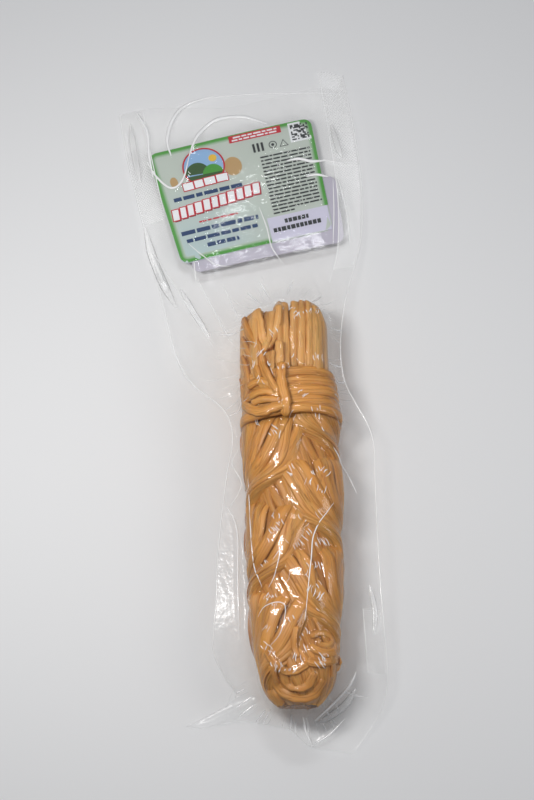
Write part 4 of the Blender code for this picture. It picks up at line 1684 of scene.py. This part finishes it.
def makeBag():
    cheese = surfaceOf([piece for piece in pieces if piece["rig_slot"] == "cheese"])
    sheets = surfaceOf([bpy.data.objects["front_sheet"], bpy.data.objects["back_sheet"]])
    columns = bag["columns"]
    lines = bag["lines"]
    u, v = np.meshgrid(np.linspace(0, 1, columns + 1), np.linspace(0, 1, lines + 1))
    x, y, plate = bagPlate(u, v)
    backY = y
    # The front layer ends a little below the back one at the mouth.
    shorter = easeGrid(0.05, 0.60, u) * (1 - easeGrid(0.975, 1.0, u))
    y = y - bag["frontShorter"] * shorter * (1 - easeGrid(0.0, 0.09, v))
    top = plate + bag["filmGap"]
    overCheese = castGrid(cheese, x, y, True) + bag["overCheese"]
    over = np.fmax(overCheese, castGrid(sheets, x, y, True) + bag["overLabels"])
    obstacle = np.fmax(over, top)
    loose = np.where(obstacle > top + 0.2, 0.0, 1.0)
    for _ in range(bag["softPasses"]):
        loose = neighbourMean(loose)
    # Between tuft and labels the film is slack and settles into a smooth slope.
    slack = np.clip(1 - np.abs(v - bag["slackMiddle"]) / bag["slackReach"], 0.0, 1.0)
    slack = np.clip(slack + bag["slackHead"] * (v < bag["slackMiddle"]), 0.0, 1.0)
    high = obstacle.copy()
    for _ in range(bag["tightPasses"]):
        high = np.maximum(obstacle, neighbourMean(high))
    for _ in range(bag["slackPasses"]):
        high = np.maximum(obstacle, high + slack * (neighbourMean(high) - high))
    # A last light smoothing takes the edge off every fold.
    share = bag["lastSmoothing"]
    high = (1 - share) * high + share * neighbourMean(high)
    ripples = np.zeros(x.shape)
    wideX, wideY = bag["rippleSize"]
    for i in range(lines + 1):
        for j in range(columns + 1):
            spot = Vector((x[i, j] / wideX, y[i, j] / wideY, 1.7))
            ripples[i, j] = noise.noise(spot) + 0.5 * noise.noise(spot * 2.3)
    free = np.clip(1.2 - (high - top) / bag["calmHeight"], 0.15, 1.0)
    inside = np.clip(np.minimum(u, 1 - u) * 14, 0.0, 1.0)
    inside = inside * np.clip(np.minimum(v, 1 - v) * 20, 0.0, 1.0)
    more = bag["ripplesHead"] - bag["ripplesPlait"]
    lively = bag["ripplesPlait"] + more * (1 - easeGrid(0.34, 0.48, v))
    high = high + lively * (ripples + 0.5) * free * inside
    for height, width, path in ridges:
        high = high + ridge(x, y, path, height, width) * np.clip(inside + 0.25, 0.0, 1.0)

    coarse = 2
    x2 = x[::coarse, ::coarse]
    y2 = backY[::coarse, ::coarse]
    under = castGrid(cheese, x2, y2, False)
    flat = plate[::coarse, ::coarse] - bag["filmGap"]
    low = np.fmin(flat, np.where(np.isnan(under), np.inf, under - bag["underCheese"]))
    low = np.maximum(low, bag["lowest"])
    ceiling = low.copy()
    for _ in range(bag["softPasses"]):
        low = np.minimum(ceiling, neighbourMean(low))
    low = np.maximum(low, bag["lowest"])

    width = columns + 1
    points = [(x[i, j], y[i, j], high[i, j]) for i in range(lines + 1) for j in range(width)]
    faces = []
    for i in range(lines):
        for j in range(columns):
            a = i * width + j
            b = a + width
            faces.append((a, b, b + 1, a + 1))
    start = len(points)
    rows2, width2 = x2.shape
    points += [(x2[i, j], y2[i, j], low[i, j]) for i in range(rows2) for j in range(width2)]
    for i in range(rows2 - 1):
        for j in range(width2 - 1):
            a = start + i * width2 + j
            b = a + width2
            faces.append((a, a + 1, b + 1, b))
    # Welded edges: left, right and foot. The mouth stays open.
    for side in (0, 1):
        for i in range(rows2 - 1):
            a = start + i * width2 + side * (width2 - 1)
            b = a + width2
            top0 = coarse * i * width + side * columns
            top1 = top0 + width
            top2 = top1 + width
            loop = (top0, a, b, top2, top1)
            faces.append(loop if side == 0 else tuple(reversed(loop)))
    for j in range(width2 - 1):
        a = start + (rows2 - 1) * width2 + j
        top0 = lines * width + coarse * j
        faces.append((top0, a, a + 1, top0 + 2, top0 + 1))
    film = newPiece("film", points, faces, filmFinish)
    film.data.materials.append(lowerFilmFinish)
    under = [0 if max(polygon.vertices) < start else 1 for polygon in film.data.polygons]
    film.data.polygons.foreach_set("material_index", under)
    film.data.shade_smooth()
    lower = [0.0] * (len(points) - start)
    addValues(film, "loose", loose.ravel().tolist() + lower)
    return keep(film, "film", "vacuum_bag")


film = makeBag()

# The creases are white strips painted as highlights on the film's folds, wrinkles and edges.
print("stage 11: creases and seals")

filmTop = surfaceOf([film])

creases = {
    # half width and points of white strips painted as highlights where the film is folded, seen
    # from above; folded film is also a little whiter of itself
    "lines": (
        (0.70, foldPaths["headLeft"]),
        (0.95, foldPaths["headHook"]),
        (1.05, foldPaths["headArch"]),
        (0.60, foldPaths["headLoop"]),
        (0.35, foldPaths["overLabel"]),
        (0.28, foldPaths["labelRight"]),
        (0.90, ((20.5, 127.4), (27.0, 128.6), (34.0, 127.2), (41.0, 128.4))),
        (0.75, ((30.5, 118.2), (36.0, 119.4), (42.0, 118.4))),
        (0.30, foldPaths["headRight"]),
        (0.28, ((44.6, 117.2), (44.9, 97.8), (44.2, 78.5))),
        (0.30, ((-30.5, 79.7), (-22.7, 72.4), (-16.0, 67.3), (-8.8, 66.2))),
        (0.80, foldPaths["neckEdge"]),
        (0.35, ((-27.3, 69.7), (-26.7, 63.6), (-26.1, 56.3))),
        (0.26, foldPaths["neckLong"]),
        (0.24, foldPaths["neckMiddle"]),
        (0.22, foldPaths["neckShort"]),
        (0.40, foldPaths["plaitLeft"]),
        (0.30, ((42.5, -67.7), (33.2, -82.8), (31.2, -97.7), (28.2, -127.2))),
        (0.28, ((0.9, -53.0), (3.4, -94.6), (7.8, -109.5))),
        (0.70, foldPaths["footRight"]),
        (0.50, foldPaths["footMiddle"]),
        (0.40, foldPaths["footCorner"]),
        (0.40, foldPaths["plaitRight"]),
        (0.30, ((-3.2, -34.1), (-7.1, -42.0), (-2.6, -51.3), (-4.1, -58.5), (-9.9, -66.8))),
        (0.28, ((-37.9, 161.8), (-17.3, 166.5), (6.5, 168.3), (33.0, 168.9), (49.0, 168.3))),
        (
            0.22,
            (
                (5.8, -124.3), (9.2, -119.8), (16.1, -118.3), (19.0, -121.8),
                (16.6, -133.0), (11.7, -138.8),
            ),
        ),
        (0.20, ((13.0, -97.0), (16.4, -93.0), (14.0, -104.0), (11.0, -110.0))),
    ),
    # half width and points of the wide soft glints painted on loose film
    "sheens": (
        (2.3, ((-53.0, 90.0), (-49.0, 74.0), (-43.0, 58.0), (-36.0, 44.0))),
        (1.7, ((-62.0, 150.0), (-59.6, 134.0), (-56.0, 116.0))),
        (1.5, ((-34.0, 54.0), (-27.0, 40.0), (-19.0, 26.0))),
        (1.6, ((44.0, 150.0), (47.0, 138.0), (49.4, 130.0))),
        (1.8, ((34.0, -170.0), (41.0, -166.5), (48.0, -161.0), (53.0, -154.0))),
        (1.3, ((60.0, -104.0), (62.4, -116.0), (62.0, -128.0))),
    ),
    # half width, place across the bag, low and high place from mouth to foot, of painted highlights
    # along the bag's edges and welds
    "edges": (
        (0.30, 0.004, 0.004, 0.995),
        (0.28, 0.106, 0.004, 0.150),
        (0.30, 0.996, 0.030, 0.990),
        (0.30, 0.884, 0.012, 0.300),
        (0.22, 0.880, 0.745, 0.850),
    ),
    "wrinkles": 84,
    "wrinkleLength": (1.0, 4.6),
    "wrinkleHalfWidth": (0.08, 0.24),
    "wrinkleStep": 1.5,
    "fanHalfWidths": (0.07, 0.10, 0.16, 0.50),
    "edgeStations": 24,
    "fewestPoints": 5,
    "lift": 0.05,
    "fans": (
        # fans of painted highlights on small folds: middle x and y, low and high angle in degrees,
        # near and far radius, count
        (18.0, 22.0, 0.0, 180.0, 20.0, 36.0, 30),
        (24.0, -4.0, 140.0, 210.0, 24.0, 44.0, 12),
        (20.0, -4.0, -36.0, 40.0, 24.0, 38.0, 12),
        (24.0, -146.0, 190.0, 350.0, 21.0, 34.0, 24),
    ),
    "seed": 41,
}


def creaseStrand(spots, halfWidth, seed):
    steps = max(8, 7 * (len(spots) - 1))
    points = []
    widths = []
    for i in range(steps + 1):
        x, y = pathAt(spots, i / steps)
        height = heightOn(filmTop, x, y, None)
        if height is None:
            continue
        points.append(Vector((x, y, height + creases["lift"])))
        share = min(i, steps - i) / steps
        widths.append(halfWidth * (0.25 + 0.75 * min(1.0, 3.5 * share)))
    outwards = [Vector((0.0, 0.0, 1.0))] * len(points)
    return strand(points, outwards, widths, [min(0.4 * w, 0.3) for w in widths], seed)


def keepLines(name, strands, finish):
    # Lines that lie almost wholly off the film are left out.
    strands = [one for one in strands if len(one["points"]) >= creases["fewestPoints"]]
    keep(makeStrands(name, strands, finish, 6, 2.0), "film", "vacuum_bag")


def makeCreases():
    rng = random.Random(creases["seed"])
    strands = []
    for k, (halfWidth, spots) in enumerate(creases["lines"]):
        strands.append(creaseStrand(spots, halfWidth, k))
    for k, (halfWidth, across, low, high) in enumerate(creases["edges"]):
        places = low + (high - low) * np.linspace(0.0, 1.0, creases["edgeStations"])
        x, y, _ = bagPlate(np.full(creases["edgeStations"], across), places)
        strands.append(creaseStrand(list(zip(x.tolist(), y.tolist())), halfWidth, 30 + k))
    for k in range(creases["wrinkles"]):
        # A small cluster of strokes, painted highlights on the film's wrinkles, that lie nearly
        # side by side.
        y = rng.uniform(-156.0, 36.0)
        x = centreX(y) + rng.uniform(-0.80, 0.72) * halfWidthAt(y)
        lean = rng.choice((-1, 1)) * rng.uniform(0.15, 0.8)
        for j in range(rng.choice((1, 2, 3, 4))):
            length = rng.uniform(*creases["wrinkleLength"])
            bend = rng.uniform(-0.3, 0.3) * length
            tilt = lean + rng.uniform(-0.16, 0.16)
            midX = x + rng.uniform(-0.6, 0.6) + creases["wrinkleStep"] * j * math.cos(lean)
            midY = y + rng.uniform(-1.2, 1.2) - creases["wrinkleStep"] * j * math.sin(lean)
            wayX = math.sin(tilt)
            wayY = math.cos(tilt)
            spots = []
            for share in (-0.5, 0.0, 0.5):
                side = bend * (0.5 - 2 * share * share)
                spotX = midX + wayX * length * share + wayY * side
                spots.append((spotX, midY + wayY * length * share - wayX * side))
            halfWidth = rng.uniform(*creases["wrinkleHalfWidth"])
            strands.append(creaseStrand(spots, halfWidth, 50 + k))
    keepLines("film_creases", strands, creaseHighlightFinish)
    # Painted sheens on loose film, and fans of painted highlights on small folds.
    strands = []
    for k, (halfWidth, spots) in enumerate(creases["sheens"]):
        strands.append(creaseStrand(spots, halfWidth, 180 + k))
    for x, y, low, high, near, far, count in creases["fans"]:
        for k in range(count):
            angle = math.radians(low + (high - low) * (k + rng.uniform(-0.4, 0.4)) / count)
            start = near * rng.uniform(0.95, 1.25)
            end = start + (far - near) * rng.uniform(0.25, 1.0)
            bend = rng.uniform(-0.07, 0.07)
            spots = []
            for share in (0.0, 0.5, 1.0):
                reach = start + (end - start) * share
                turn = angle + bend * share * share
                spots.append((x + reach * math.cos(turn), y + reach * math.sin(turn)))
            halfWidth = rng.choice(creases["fanHalfWidths"])
            strands.append(creaseStrand(spots, halfWidth, 200 + k))
    keepLines("film_folds", strands, sheenStripFinish)


makeCreases()

seals = {
    # u across the bag and v from mouth to foot, low and high, where the film is welded
    "bands": (
        (0.008, 0.105, 0.004, 0.155),
        (0.885, 0.990, 0.010, 0.280),
        (0.880, 0.985, 0.745, 0.850),
    ),
    "bandWidth": 13.0,
    "pitch": 1.55,
    "radius": 0.62,
    "height": 0.13,
    "lift": 0.02,
}


def makeSealTree():
    # A small four-sided boss on each point, turned with the band.
    tree, given, put = geometryTree(
        "weldedBand",
        [
            ("Radius", "NodeSocketFloat", 0.0006),
            ("Height", "NodeSocketFloat", 0.0001),
            ("Finish", "NodeSocketMaterial", None),
        ],
    )
    link = tree.links.new
    cone = addNode(tree, "GeometryNodeMeshCone")
    cone.inputs["Vertices"].default_value = 4
    link(given.outputs["Radius"], cone.inputs["Radius Bottom"])
    link(given.outputs["Height"], cone.inputs["Depth"])
    dots = addNode(tree, "GeometryNodeMeshToPoints")
    link(given.outputs["Geometry"], dots.inputs["Mesh"])
    placed = addNode(tree, "GeometryNodeInstanceOnPoints")
    link(dots.outputs[0], placed.inputs["Points"])
    link(cone.outputs["Mesh"], placed.inputs["Instance"])
    turn = addNode(tree, "ShaderNodeCombineXYZ", Z=namedValue(tree, "turn"))
    link(turn.outputs[0], placed.inputs["Rotation"])
    endTree(tree, placed.outputs[0], given, put)
    return tree


def makeSeals():
    points = []
    turns = []
    for lowU, highU, lowV, highV in seals["bands"]:
        across = int(seals["bandWidth"] / seals["pitch"])
        endsX, endsY, _ = bagPlate(np.array([lowU, lowU]), np.array([lowV, highV]))
        alongX = endsX[1] - endsX[0]
        alongY = endsY[1] - endsY[0]
        count = int(math.hypot(alongX, alongY) / seals["pitch"])
        for i in range(2 * count):
            for j in range(across):
                shareU = (j + 0.5 * (i % 2)) / across
                u = np.array([lowU + (highU - lowU) * shareU])
                v = np.array([lowV + (highV - lowV) * i / (2 * count)])
                x, y, plate = (float(part[0]) for part in bagPlate(u, v))
                height = heightOn(filmTop, x, y, plate)
                points.append((x, y, height + seals["lift"]))
                turns.append(math.atan2(alongY, alongX))
    piece = newPiece("film_seals", points, [])
    addValues(piece, "turn", turns)
    growTree(
        piece,
        makeSealTree(),
        {"Radius": seals["radius"] * mm, "Height": seals["height"] * mm, "Finish": sealFinish},
    )
    piece.data.shade_flat()
    keep(piece, "film")


makeSeals()

print("finish")
bpy.context.view_layer.update()
